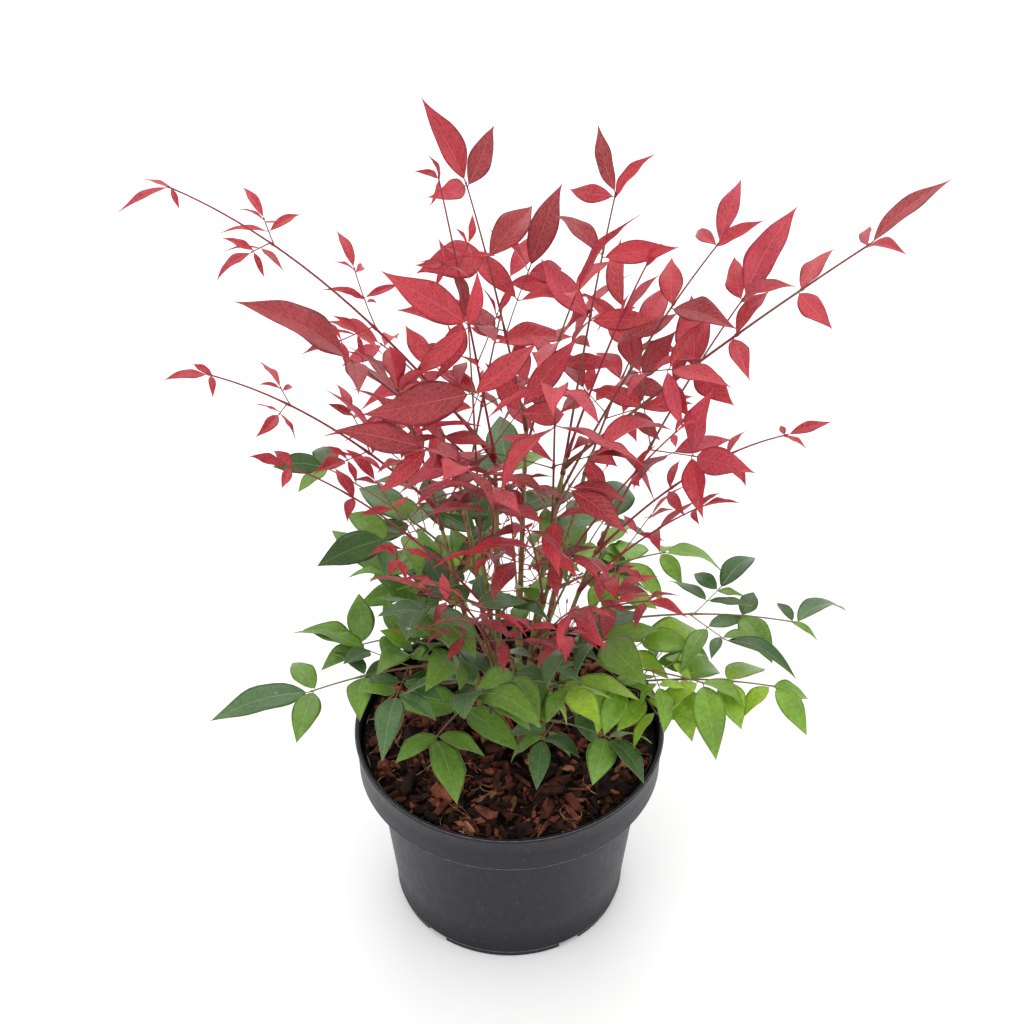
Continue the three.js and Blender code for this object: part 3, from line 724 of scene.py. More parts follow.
MATURE = Habit(0.31, 22, 0.1, (Tone.CRIMSON, Tone.CRIMSON, Tone.ROSE, Tone.WINE), TwigKind.RIPE)
YOUNG = Habit(0.27, 8, 0.06, (Tone.SCARLET, Tone.CRIMSON, Tone.SCARLET), TwigKind.YOUNG)
DUSKY = Habit(0.34, 26, 0.12, (Tone.MAROON, Tone.WINE, Tone.WINE, Tone.CRIMSON), TwigKind.RIPE)
GREEN = Habit(0.4, 18, 0.12, (Tone.GREEN, Tone.GREEN, Tone.DEEP, Tone.BLUISH), TwigKind.GREEN)
LIME = Habit(0.42, 22, 0.14, (Tone.LIME, Tone.FRESH, Tone.LIME, Tone.GREEN), TwigKind.GREEN)


@dataclass(frozen=True)
class CanePlan:
    """One cane: foot on the root ball, top, and radii at both."""

    name: str
    foot: Pair
    top: Triple
    radii: Pair

    def curve(self) -> Arch:
        """Its line, from its foot on the root ball to its top.

        Returns:
            The line.
        """
        start, end = vec(*self.foot, CANE_FOOT_Z), vec(*self.top)
        middle = mix(start, end, 0.5)
        middle[:2] = mix(start[:2], end[:2], CANE_LEAN_SHARE)
        return Arch(start, middle, end)

    def radius(self, share: float) -> float:
        """Its radius at a share of its height, with its flared foot."""
        flare = max(0.0, 1 - share / CANE_FLARE_SHARE)
        return mix(*self.radii, share) * (1 + (CANE_FLARE - 1) * flare)


CANE_FOOT_Z = 118.3
CANE_LEAN_SHARE = 0.15
CANE_FLARE = 1.35
CANE_FLARE_SHARE = 0.05
CANE_STEPS = 5
CANES = (
    CanePlan("cane_main", (-6, 2), (-8, 5, 352), (2.6, 1.5)),
    CanePlan("cane_back", (5, 13), (10, 38, 345), (2.3, 1.4)),
    CanePlan("cane_centre_right", (9, 4), (33, 16, 338), (2.4, 1.4)),
    CanePlan("cane_front", (-5, -9), (-16, -28, 305), (2.3, 1.4)),
    CanePlan("cane_front_right", (6, -8), (26, -27, 292), (2.4, 1.5)),
    CanePlan("cane_left", (-15, -3), (-44, 4, 316), (2.2, 1.3)),
    CanePlan("cane_back_left", (-9, 13), (-32, 54, 300), (2.2, 1.3)),
    CanePlan("cane_back_right", (15, 13), (48, 56, 305), (2.3, 1.4)),
    CanePlan("cane_right", (19, -4), (52, -6, 290), (2.2, 1.3)),
)


@dataclass(frozen=True)
class FrondPlan:
    """One frond of the plan.

    Attributes:
        name: The CAD node that it is.
        cane: Index of its cane.
        at: Share of the cane's height where it leaves.
        tip: Its end node.
        leaf: Length of its end leaflet.
        pinnae: Leaflets on the pinnae of each node, from the base.
        habit: How its leaflets look.
        bow: How far the rachis arches up, as a share of its length.
        bare: Share of the rachis below its first node.
        thick: How many times the usual thickness the rachis has.
        close: How far its leaflets spread, as a share of the usual angle.
        droop: Degrees of droop, where it isn't the habit's own.
        side: Length of the end node's side leaflets as a share of the end leaflet's.
        pair: Length of a lower pair's leaflets as a share of the end leaflet's.
        reach: Length of its pinnae as a share of the rachis beyond them.
        swing: Degrees that the end leaflets are turned aside.
        slim: How many times the habit's width its leaflets have.
        tones: Its leaflets' tones, where they aren't the habit's own.
    """

    name: str
    cane: int
    at: float
    tip: Triple
    leaf: float
    pinnae: Ints
    habit: Habit
    bow: float = 0.11
    bare: float = 0.4
    thick: float = 1.0
    close: float = 1.0
    droop: float | None = None
    side: float = 0.72
    pair: float = 0.95
    reach: float = 0.42
    swing: float = 0
    slim: float = 1.0
    tones: tuple[Tone, ...] | None = None


FRONDS = (
    FrondPlan("red_left_high", 0, 0.95, (-175, 20, 510), 32, (5, 3), YOUNG, bow=0.2, bare=0.38, side=0.5,
              reach=0.28, swing=55, slim=0.78),
    FrondPlan("red_left_middle", 5, 0.96, (-160, -10, 412), 29, (3, 3), YOUNG, bow=0.17, bare=0.3, side=0.55,
              reach=0.26, swing=25, slim=0.85),
    FrondPlan("red_left_low", 3, 0.7, (-118, -40, 374), 24, (3, 1), YOUNG, bow=0.16),
    FrondPlan("red_top_tall", 1, 0.965, (-23, 60, 487), 57, (3, 1), MATURE, bare=0.36, droop=-4, side=0.6,
              swing=8),
    FrondPlan("red_top_young", 0, 0.96, (-36, 18, 517), 22, (3, 3), YOUNG, bare=0.34, bow=0.05, reach=0.28,
              swing=60, slim=0.8),
    FrondPlan("red_top_centre", 2, 0.93, (57, 60, 480), 39, (1, 1), MATURE, bare=0.53, droop=10, swing=40,
              pair=1.1, slim=0.8),
    FrondPlan("red_top_bud", 2, 0.985, (74, 32, 455), 14, (1,), YOUNG, bare=0.7, close=0.35),
    FrondPlan("red_top_right", 2, 0.85, (112, 41, 461), 47, (3, 1), MATURE, bare=0.46, droop=4, swing=40,
              slim=0.85),
    FrondPlan("red_right_far", 2, 0.955, (185, 0, 488), 51, (1, 1, 1), MATURE, bow=0.04, bare=0.38, thick=1.3,
              droop=6, side=0.55, pair=0.75, swing=32, slim=0.78),
    FrondPlan("red_right_middle", 8, 0.95, (153, 0, 363), 30, (1, 1), YOUNG, bow=0.22, side=0.5,
              pair=0.8, swing=25, slim=0.85),
    FrondPlan("red_right_trio", 4, 0.88, (88, -42, 399), 19, (1,), YOUNG, bare=0.7),
    FrondPlan("red_right_low", 8, 0.78, (104, -32, 338), 27, (3, 1), YOUNG, bare=0.35),
    FrondPlan("red_left_broad", 0, 0.88, (-81, -34, 439), 86, (3, 1), MATURE, droop=4, side=0.42,
              bow=0.05, pair=0.55, swing=-2, reach=0.3, tones=(Tone.WINE,)),
    FrondPlan("red_centre_left", 3, 0.985, (-21, -20, 452), 58, (3, 1), MATURE, bare=0.35, droop=2, swing=44,
              side=0.6, slim=0.88),
    FrondPlan("red_centre_back", 1, 0.9, (36, 20, 444), 50, (3, 1), MATURE, bare=0.35, droop=4, swing=20,
              slim=0.8),
    FrondPlan("red_front_star", 3, 0.93, (-24, -74, 402), 46, (1, 1), MATURE, bare=0.5, droop=15, swing=40),
    FrondPlan("red_front_low_left", 3, 0.52, (-38, -74, 318), 30, (3,), YOUNG, bare=0.5, droop=4,
              tones=(Tone.WINE, Tone.CRIMSON)),
    FrondPlan("red_front_low_centre", 3, 0.38, (-19, -78, 296), 32, (3,), MATURE, bare=0.5, droop=8,
              tones=(Tone.MAROON, Tone.WINE)),
    FrondPlan("red_front_low_right", 4, 0.62, (76, -62, 296), 32, (3, 1), MATURE, droop=12,
              tones=(Tone.WINE, Tone.CRIMSON)),
    FrondPlan("red_front_right_star", 4, 0.5, (36, -76, 303), 34, (3,), MATURE, bare=0.5, droop=30,
              tones=(Tone.CRIMSON, Tone.WINE)),
    FrondPlan("dusky_right_broad", 4, 0.95, (46, -50, 392), 58, (1, 1), DUSKY, bare=0.5, droop=46, side=0.6,
              pair=0.6, swing=50, slim=0.9),
    FrondPlan("red_centre_bright", 2, 0.78, (24, -48, 432), 54, (3, 1), MATURE, bare=0.35, droop=34,
              tones=(Tone.CRIMSON, Tone.SCARLET, Tone.ROSE)),
    FrondPlan("red_centre_low", 4, 0.8, (10, -66, 352), 36, (3, 1), DUSKY, droop=20),
    FrondPlan("red_left_cluster", 5, 0.88, (-58, -34, 420), 42, (3, 1), MATURE, bare=0.3, droop=-10,
              slim=0.8),
    FrondPlan("dusky_right_upper", 8, 0.985, (125, 20, 440), 48, (3, 1), MATURE, bare=0.36, droop=2, swing=12,
              slim=1.1),
    FrondPlan("red_heart", 0, 0.8, (-12, -44, 372), 38, (3, 1), DUSKY, droop=14),
    FrondPlan("green_left_far", 5, 0.36, (-114, -48, 212), 55, (3, 1), GREEN, droop=2, side=0.62,
              pair=0.6, swing=-12, slim=0.85, tones=(Tone.GREEN, Tone.BLUISH)),
    FrondPlan("green_left_upper", 5, 0.48, (-90, -4, 206), 38, (3, 1), GREEN, bare=0.3, droop=-35, swing=-30,
              pair=0.8, tones=(Tone.GREEN, Tone.GREEN, Tone.FRESH)),
    FrondPlan("green_left_back", 6, 0.62, (-108, 60, 290), 38, (3,), GREEN, bare=0.35),
    FrondPlan("green_left_lime", 6, 0.5, (-73, 28, 232), 42, (3,), LIME, bare=0.35, droop=-15, swing=-45),
    FrondPlan("green_front_left", 5, 0.22, (-43, -52, 178), 41, (1,), GREEN, droop=10, side=0.8, swing=45),
    FrondPlan("green_front", 3, 0.3, (-20, -62, 226), 46, (3, 1), GREEN, bare=0.3, droop=6, side=0.8,
              swing=70),
    FrondPlan("green_front_dark", 0, 0.45, (-20, -52, 284), 46, (3, 1), GREEN, bow=0.2, bare=0.3, droop=-4,
              pair=0.7, swing=62),
    FrondPlan("green_centre_left", 3, 0.36, (-48, -38, 266), 42, (3, 1), GREEN, bare=0.3, droop=8),
    FrondPlan("green_centre_right", 4, 0.42, (54, -40, 246), 46, (3, 1), GREEN, bare=0.3, droop=10,
              swing=-40),
    FrondPlan("green_centre_low", 0, 0.29, (2, -50, 228), 44, (3, 1), GREEN, bow=0.25, bare=0.35, droop=8,
              swing=35),
    FrondPlan("lime_front_right", 4, 0.3, (34, -64, 230), 36, (3,), LIME, droop=30),
    FrondPlan("green_front_right", 4, 0.18, (58, -58, 184), 38, (3,), GREEN, droop=24),
    FrondPlan("lime_right", 8, 0.42, (112, -42, 213), 42, (3, 3), LIME, bare=0.35, swing=-60, pair=0.8,
              tones=(Tone.FRESH, Tone.FRESH, Tone.LIME)),
    FrondPlan("green_right_far", 8, 0.26, (154, -40, 208), 38, (3, 1, 1), LIME, bow=0.14, swing=-50),
    FrondPlan("green_right_upper", 2, 0.38, (171, 14, 208), 50, (3, 1), GREEN, bow=0.16, bare=0.6, droop=4,
              side=0.45, pair=0.65, swing=46, slim=0.85),
    FrondPlan("green_right_back", 7, 0.55, (93, 42, 239), 36, (3, 1), LIME, bare=0.35, tones=(Tone.FRESH,)),
)


@dataclass(frozen=True)
class FanPlan:
    """A row of fronds fanned out by bearing round the back, every second one nearer and higher."""

    name: str
    canes: Ints
    at: float
    start: float
    step: float
    reach: float
    height: float
    leaf: float
    habit: Habit
    rise: float = 34
    stagger: float = 0.07

    def fronds(self) -> list[FrondPlan]:
        """Sets the fronds of the fan.

        Returns:
            Their plans, from the first bearing on.
        """
        plans = []
        for i, cane in enumerate(self.canes):
            angle = math.radians(self.start + self.step * i)
            reach = self.reach * (1 - self.stagger * (i % 2))
            tip = (reach * math.cos(angle), reach * math.sin(angle), self.height + self.rise * (i % 2))
            at = self.at - self.stagger * i
            plans.append(FrondPlan(f"{self.name}_{i + 1}", cane, at, tip, self.leaf, (3, 1), self.habit))
        return plans


FANS = (
    FanPlan("red_back", (7, 6, 1), 0.93, 52, 38, 122, 354, 42, MATURE),
    FanPlan("green_back", (7, 1, 6), 0.44, 56, 35, 104, 226, 46, GREEN),
)


# -------------------------------- growing the plant
@dataclass
class Limb:
    """A straight piece of a cane, rachis or stalk, as room is tested."""

    owner: int
    start: Array
    end: Array
    radius: float


@dataclass
class Leaflet:
    """One leaflet: where it grows, which way it lies and how it looks."""

    root: Array
    direction: Array
    side: Array
    normal: Array
    length: float
    half_width: float
    curl: float
    owner: int
    cluster: int
    keys: Ints
    tone: Tone

    @property
    def tip(self) -> Array:
        """The curled tip."""
        return self.root + self.direction * self.length - self.normal * (self.curl * self.length)

    def corners(self, belly: float) -> Array:
        """Root, left, tip and right of the plain blade, whose widest place is at belly.

        Args:
            belly: Share of the length.

        Returns:
            The four corners, one a row.
        """
        middle = self.root + self.direction * (belly * self.length)
        across = self.side * self.half_width
        return np.array([self.root, middle - across, self.tip, middle + across])


@dataclass
class Frond:
    """A frond as it grows: its rachis, stalks and leaflets."""

    plan: FrondPlan
    index: int
    curve: Arch
    stalks: list[Arch] = field(default_factory=list)
    leaflets: list[Leaflet] = field(default_factory=list)
    nodes: list[float] = field(default_factory=list)


def segment_gaps(start: Array, end: Array, starts: Array, ends: Array) -> Array:
    """The least distance from one segment to each of several.

    Args:
        start: Start of the one segment.
        end: End of it.
        starts: Starts of the others, one a row.
        ends: Ends of the others.

    Returns:
        A distance for each of the others.
    """
    u, v, w = end - start, ends - starts, start - starts
    uu, vv = float(u @ u), dot(v, v)
    uv, uw, vw = v @ u, w @ u, dot(v, w)
    det = uu * vv - uv * uv
    s = np.where(det > LEAST, np.clip((uv * vw - vv * uw) / np.where(det > LEAST, det, 1), 0, 1), 0)
    t = np.clip((uv * s + vw) / vv, 0, 1)
    s = np.clip((uv * t - uw) / uu, 0, 1)
    return np.linalg.norm(w + u * s[:, None] - v * t[:, None], axis=1)


def pierced(lines: Array, triangles: Array) -> bool:
    """Whether any line passes through any triangle in the same row, for rows that broadcast.

    Args:
        lines: As rows by lines by two ends by three.
        triangles: As rows by triangles by three corners by three.

    Returns:
        True if one does.
    """
    start, direction = lines[:, :, None, 0], lines[:, :, None, 1] - lines[:, :, None, 0]
    a, b, c = (triangles[:, None, :, i] for i in range(3))
    ab, ac, s = b - a, c - a, start - a
    h, k = np.cross(direction, ac), np.cross(s, ab)
    det = dot(ab, h)
    solid = np.abs(det) >= LEAST
    inverse = 1 / np.where(solid, det, 1)
    u, v, t = dot(s, h) * inverse, dot(direction, k) * inverse, dot(ac, k) * inverse
    return bool((solid & (u >= 0) & (v >= 0) & (u + v <= 1) & (t >= 0) & (t <= 1)).any())


class Space:
    """The room that canes, rachises, stalks and leaflets leave each other."""

    CAPACITY = 4096
    BELLY = 0.42
    BLADE_LINES = np.array([[0, 1], [1, 2], [2, 3], [3, 0], [0, 2]])
    BLADE_HALVES = np.array([[0, 1, 2], [0, 2, 3]])
    SHIFTS = np.array([-1.0, 0.0, 1.0])

    def __init__(self) -> None:
        """Starts empty."""
        self.limb_count = 0
        self.blade_count = 0
        self.limb_ends = np.zeros((self.CAPACITY, 2, 3))
        self.limb_facts = np.zeros((self.CAPACITY, 3))
        self.blade_corners = np.zeros((self.CAPACITY, 4, 3))
        self.blade_normals = np.zeros((self.CAPACITY, 3))
        self.blade_facts = np.zeros((self.CAPACITY, 3))

    def add_limb(self, limb: Limb) -> None:
        """Takes up the room of a limb.

        Args:
            limb: The limb.
        """
        i = self.limb_count
        self.limb_ends[i] = limb.start, limb.end
        self.limb_facts[i] = limb.owner, limb.radius, np.linalg.norm(limb.end - limb.start) / 2
        self.limb_count += 1

    def add_blade(self, leaflet: Leaflet) -> None:
        """Takes up the room of a leaflet.

        Args:
            leaflet: The leaflet.
        """
        i = self.blade_count
        self.blade_corners[i] = leaflet.corners(self.BELLY)
        self.blade_normals[i] = leaflet.normal
        self.blade_facts[i] = leaflet.owner, leaflet.cluster, leaflet.length / 2
        self.blade_count += 1

    @classmethod
    def layers(cls, corners: Array, normals: Array, room: Array) -> Array:
        """The two halves of blades, moved along their normals and grown outwards.

        Args:
            corners: Corners of the blades, as blades by four by three, or of one blade for every room.
            normals: A normal for each.
            room: How far each is moved and grown.

        Returns:
            Triangles, as blades by six by three corners by three.
        """
        centres = (corners[:, 0] + corners[:, 2]) / 2
        outward = corners - centres[:, None]
        outward /= np.linalg.norm(outward, axis=-1, keepdims=True)
        grown = corners + outward * room[:, None, None]
        shifts = cls.SHIFTS[:, None] * room[:, None, None] * normals[:, None]
        stack = grown[:, None] + shifts[:, :, None]
        count = len(cls.SHIFTS) * len(cls.BLADE_HALVES)
        return stack[:, :, cls.BLADE_HALVES].reshape(len(room), count, 3, 3)

    def near_limbs(self, centre: Array, reach: float, room: float,
                   owners: Ints) -> tuple[Array, Array]:
        """Finds the limbs that may be near.

        Args:
            centre: The middle of what is tested.
            reach: How far it goes from there.
            room: Room that it leaves round it.
            owners: Owners whose limbs don't count.

        Returns:
            The limbs' ends, and the room to the middle line of each.
        """
        ends, facts = self.limb_ends[:self.limb_count], self.limb_facts[:self.limb_count]
        rooms = room + facts[:, 1]
        gap = np.linalg.norm(ends.mean(axis=1) - centre, axis=1)
        close = ~np.isin(facts[:, 0], owners) & (gap < facts[:, 2] + reach + rooms)
        return ends[close], rooms[close]

    def near_blades(self, centre: Array, reach: float, room: float, owner: int,
                    cluster: int | None = None) -> tuple[Array, Array, Array]:
        """Finds the leaflets that may be near.

        Args:
            centre: The middle of what is tested.
            reach: How far it goes from there.
            room: Room that it leaves round it.
            owner: The owner whose leaflets don't count.
            cluster: The one group of the owner's that doesn't count, if the others do.

        Returns:
            The leaflets' corners, their normals and the room to each.
        """
        corners, facts = self.blade_corners[:self.blade_count], self.blade_facts[:self.blade_count]
        gap = np.linalg.norm((corners[:, 0] + corners[:, 2]) / 2 - centre, axis=1)
        apart = facts[:, 0] != owner
        if cluster is not None:
            apart |= facts[:, 1] != cluster
        close = apart & (gap < facts[:, 2] + reach + room)
        return corners[close], self.blade_normals[:self.blade_count][close], np.full(int(close.sum()), room)

    def blade_fits(self, leaflet: Leaflet, clear: float) -> bool:
        """Whether a leaflet keeps clear of other fronds' limbs and of every other leaflet.

        Args:
            leaflet: The leaflet to test.
            clear: Room in millimetres.

        Returns:
            True if it fits.
        """
        corners, normal = leaflet.corners(self.BELLY)[None], leaflet.normal[None]
        centre, reach = (leaflet.root + leaflet.tip) / 2, leaflet.length / 2
        ends, rooms = self.near_limbs(centre, reach, clear, (leaflet.owner,))
        if pierced(ends[:, None], self.layers(corners, normal, rooms)):
            return False
        others, normals, rooms = self.near_blades(centre, reach, clear, leaflet.owner, leaflet.cluster)
        if pierced(corners[:, self.BLADE_LINES], self.layers(others, normals, rooms)):
            return False
        return not pierced(others[:, self.BLADE_LINES], self.layers(corners, normal, rooms))

    def limb_fits(self, limb: Limb, clear: float, blade_clear: float, without: int = -1) -> bool:
        """Whether a limb keeps clear of other fronds' limbs and leaflets.

        Args:
            limb: The limb to test.
            clear: Room to limbs in millimetres.
            blade_clear: Room to leaflets.
            without: An owner whose limbs don't count, such as the rachis's own cane.

        Returns:
            True if it fits.
        """
        centre = (limb.start + limb.end) / 2
        reach = float(np.linalg.norm(limb.end - limb.start)) / 2
        ends, rooms = self.near_limbs(centre, reach, limb.radius + clear, (limb.owner, without))
        if (segment_gaps(limb.start, limb.end, ends[:, 0], ends[:, 1]) < rooms).any():
            return False
        blades = self.near_blades(centre, reach, limb.radius + blade_clear, limb.owner)
        return not pierced(np.array([[[limb.start, limb.end]]]), self.layers(*blades))


@dataclass
class Grower:
    """Grows every frond by the seeded rule of the solids, then carries it to finer leaflets.

    Lengths are in millimetres and angles in degrees. A share is of the length that it is named for.
    """

    bark_room: float = 1
    bare_steps: int = 2
    leafy_steps: int = 2
    rachis_radius: float = 2.0
    stalk_radius: float = 0.85
    pinna_spread: float = 58
    leaflet_spread: float = 68
    pair_place: float = 0.52
    leaflet_stalk: float = 1.6
    stalk_stagger: float = 1.3
    side_broader: float = 1.15
    side_setback: Pair = (1, 1.8)
    pinna_leaf_share: float = 1.25
    pinna_leaf_least: float = 8
    least_droop: float = 0.5
    size_spread: float = 0.18
    yaw_spread: float = 9
    roll_spread: float = 22
    fullness: float = 1.08
    face_up: float = 0.5
    inward_facing: float = 0.15
    blade_clear: float = 1.0
    limb_clear: float = 0.7
    stalk_sag: float = 0.05
    finer_stalk: float = 16
    finer_share: float = 0.72
    finer_clear: float = 0.5
    finer_cluster: int = 80
    clusters: int = 10
    pinna_clusters: tuple[tuple[int, int], ...] = ((1, 4), (-1, 1))
    sways: Ints = (0, 7, -7, 14, -14, 21, -21, 28, -28, 36, -36)
    turns: tuple[tuple[int, int], ...] = ((0, 0), (14, 0), (-14, 0), (0, 13), (0, -13), (26, 8), (-26, 8),
                                          (12, -20), (-12, 20))
    space: Space = field(default_factory=Space)

    def pieces(self, owner: int, curve: Arch, radius: float, shares: Sequence[float],
               start: float) -> list[Limb]:
        """The straight pieces that a curve is tested as, from its start or from where it comes out."""
        points = curve.points(max(share, start) for share in shares)
        return [Limb(owner, points[i], points[i + 1], radius) for i in range(len(points) - 1)]

    def rachis_shares(self, plan: FrondPlan) -> list[float]:
        """Shares where the solid's rachis bends: on its bare foot and at every node.

        Args:
            plan: The frond's plan.

        Returns:
            The shares, from its foot to its end.
        """
        leafy = max(len(plan.pinnae), self.leafy_steps)
        foot = [plan.bare * i / self.bare_steps for i in range(self.bare_steps + 1)]
        return foot + [mix(plan.bare, 1, i / leafy) for i in range(1, leafy + 1)]

    def grow(self) -> list[Frond]:
        """Grows the whole plant.

        Returns:
            Its fronds, with their rachises, stalks and leaflets.
        """
        plans = [*FRONDS, *(plan for fan in FANS for plan in fan.fronds())]
        curves = [cane.curve() for cane in CANES]
        shares = [step / CANE_STEPS for step in range(CANE_STEPS + 1)]
        for i, (cane, curve) in enumerate(zip(CANES, curves)):
            for limb in self.pieces(len(plans) + i, curve, cane.radius(0), shares, 0):
                self.space.add_limb(limb)
        fronds = [self.rachis(plan, i, curves[plan.cane], len(plans)) for i, plan in enumerate(plans)]
        for frond in fronds:
            self.fill(frond)
        return fronds

    def rachis(self, plan: FrondPlan, index: int, cane: Arch, frond_count: int) -> Frond:
        """A rachis: an arch from its cane to the end node, swayed aside where it has to pass a limb.

        Args:
            plan: The frond's plan.
            index: Its place in the plan.
            cane: The line of its cane.
            frond_count: How many fronds there are, after which the canes are numbered.

        Returns:
            The frond, with nothing on it yet.
        """
        start, tip = cane.point(plan.at), vec(*plan.tip)
        length = float(np.linalg.norm(tip - start))
        sideways = unit(np.cross(tip - start, UP))
        hidden = (CANES[plan.cane].radius(plan.at) + self.bark_room) / length
        radius = self.rachis_radius * plan.thick
        own = frond_count + plan.cane
        best: tuple[Arch, list[Limb]] | None = None
        for sway in self.sways:
            middle = mix(start, tip, 0.5) + UP * (plan.bow * length) + sideways * sway
            curve = Arch(start, middle, tip)
            limbs = self.pieces(index, curve, radius, self.rachis_shares(plan), hidden)
            best = best or (curve, limbs)
            if all(self.space.limb_fits(limb, self.limb_clear, self.blade_clear, own) for limb in limbs):
                best = (curve, limbs)
                break
        for limb in best[1]:
            self.space.add_limb(limb)
        return Frond(plan, index, best[0])

    def fill(self, frond: Frond) -> None:
        """Grows everything on a frond's rachis, from its end to its first node.

        Args:
            frond: The frond.
        """
        plan, curve = frond.plan, frond.curve
        inward = unit((curve.start - curve.end) * vec(1, 1, 0))
        last = len(plan.pinnae)
        for node in range(last, -1, -1):
            share = mix(plan.bare, 1, node / last)
            frond.nodes.append(share)
            point, tangent = curve.point(share), curve.tangent(share)
            normal = UP + inward * self.inward_facing
            normal = unit(normal - tangent * float(normal @ tangent))
            cluster = node * self.clusters
            if node == last or plan.pinnae[node] == 1:
                is_end = node == last
                leaf = plan.leaf if is_end else plan.leaf * plan.pair / plan.side
                swing = plan.swing if is_end else 0
                self.node(frond, cluster, point, tangent, normal, leaf, is_end, (frond.index, node), swing)
                continue
            length = plan.reach * float(np.linalg.norm(point - curve.end)) + self.leaflet_stalk
            for hand, shift in self.pinna_clusters:
                way = turned(tangent, normal, hand * self.pinna_spread)
                foot = point + tangent * (hand * self.stalk_stagger)
                self.pinna(frond, cluster + shift, foot, way, normal, length, plan.pinnae[node],
                           (frond.index, node, hand + 2))

    def node(self, frond: Frond, cluster: int, point: Array, direction: Array, normal: Array,
             length: float, is_end: bool, keys: Ints, swing: float = 0) -> None:
        """Leaflets round one node: one along the direction if it is an end, and one to each side.

        Args:
            frond: Their frond.
            cluster: Number of the group, whose leaflets may touch.
            point: The node.
            direction: Direction of the twig there.
            normal: Its facing side.
            length: Length of an end leaflet.
            is_end: Whether the twig ends there.
            keys: What chance depends on.
            swing: Degrees that all of them are turned aside.
        """
        spread = self.leaflet_spread * frond.plan.close
        left, right = self.side_setback
        ways = [(spread, frond.plan.side, left), (-spread, frond.plan.side, right)]
        if is_end:
            ways.insert(0, (0, 1, 0))
        for i, (angle, share, back) in enumerate(ways):
            way = turned(direction, normal, angle + swing)
            base = point - direction * (back * self.leaflet_stalk)
            broad = self.side_broader if angle else 1
            self.leaflet(frond, cluster, base, way, normal, length * share, broad, (*keys, i))

    def leaflet(self, frond: Frond, cluster: int, root: Array, direction: Array, normal: Array,
                length: float, broad: float, keys: Ints, clear: float | None = None) -> bool:
        """Tries a leaflet at each turn and keeps the first that fits.

        Args:
            frond: Its frond.
            cluster: Number of its group.
            root: Where it grows from.
            direction: Its usual direction.
            normal: Its facing side.
            length: Its usual length.
            broad: How many times the frond's usual width it has.
            keys: What chance depends on.
            clear: Room in millimetres, where it isn't the usual.

        Returns:
            Whether one fitted.
        """
        yaw = vary(self.yaw_spread, *keys, Key.YAW)
        roll = vary(self.roll_spread, *keys, Key.ROLL)
        habit = frond.plan.habit
        usual = habit.droop if frond.plan.droop is None else frond.plan.droop
        droop = usual * (self.least_droop + chance(*keys, Key.DROOP))
        size = length * (1 + vary(self.size_spread, *keys, Key.SIZE))
        tones = frond.plan.tones or habit.tones
        tone = tones[int(chance(*keys, Key.TONE) * len(tones))]
        half = habit.slim * frond.plan.slim * broad * self.fullness * size / 2
        for yaw_more, lift in self.turns:
            way = turned(direction, normal, yaw + yaw_more, lift - droop)
            face = turn(mix(normal, UP, self.face_up), way, roll)
            side = unit(np.cross(way, face))
            leaflet = Leaflet(root, way, side, np.cross(side, way), size, half, habit.curl, frond.index,
                              cluster, keys, tone)
            if self.space.blade_fits(leaflet, self.blade_clear if clear is None else clear):
                self.space.add_blade(leaflet)
                frond.leaflets.append(leaflet)
                return True
        return False

    def pinna(self, frond: Frond, cluster: int, root: Array, direction: Array, normal: Array,
              length: float, count: int, keys: Ints) -> None:
        """A pinna: a stalk with a pair of leaflets on the way if it has five, and three at its end.

        Args:
            frond: Its frond.
            cluster: Number of its first group.
            root: Where it leaves the rachis.
            direction: Which way it points.
            normal: Its facing side.
            length: Its length.
            count: How many leaflets it has.
            keys: What chance depends on.
        """
        for yaw, lift in self.turns:
            way = turned(direction, normal, yaw + vary(self.yaw_spread, *keys, Key.STALK), lift)
            end = root + way * length
            limb = Limb(frond.index, root, end, self.stalk_radius)
            if not self.space.limb_fits(limb, self.limb_clear, self.blade_clear):
                continue
            self.space.add_limb(limb)
            sag = normal * vary(self.stalk_sag * length, *keys, Key.SAG)
            frond.stalks.append(Arch(root, mix(root, end, 0.5) + sag, end))
            leaf = min(frond.plan.leaf, self.pinna_leaf_share * length + self.pinna_leaf_least)
            if count > 3:
                pair = mix(root, end, self.pair_place)
                self.node(frond, cluster, pair, way, normal, leaf, False, (*keys, Key.PAIR))
            self.node(frond, cluster + 1, end, way, normal, leaf, True, (*keys, Key.END))
            return

    def refine(self, fronds: Sequence[Frond]) -> int:
        """Adds the finer pairs that the solids leave out, wherever they fit.

        Args:
            fronds: The grown fronds.

        Returns:
            How many leaflets were added.
        """
        before = sum(len(frond.leaflets) for frond in fronds)
        for frond in fronds:
            for i, stalk in enumerate(frond.stalks):
                self.refine_stalk(frond, i, stalk)
        return sum(len(frond.leaflets) for frond in fronds) - before

    def refine_stalk(self, frond: Frond, index: int, stalk: Arch) -> None:
        """Tries one smaller pair on the way up a stalk, unless it is short.

        Args:
            frond: Its frond.
            index: The stalk's number, which chance depends on.
            stalk: The stalk's line.
        """
        length = float(np.linalg.norm(stalk.end - stalk.start))
        if length < self.finer_stalk:
            return
        direction = unit(stalk.end - stalk.start)
        normal = unit(UP - direction * float(UP @ direction))
        point = mix(stalk.start, stalk.end, self.pair_place)
        longest = self.pinna_leaf_share * length + self.pinna_leaf_least
        leaf = self.finer_share * min(frond.plan.leaf, longest)
        for hand in (1, -1):
            way = turned(direction, normal, hand * self.leaflet_spread)
            keys = (frond.index, index, hand + 2, Key.FINER)
            self.leaflet(frond, self.finer_cluster + index, point, way, normal, leaf, 1.0, keys,
                         self.finer_clear)


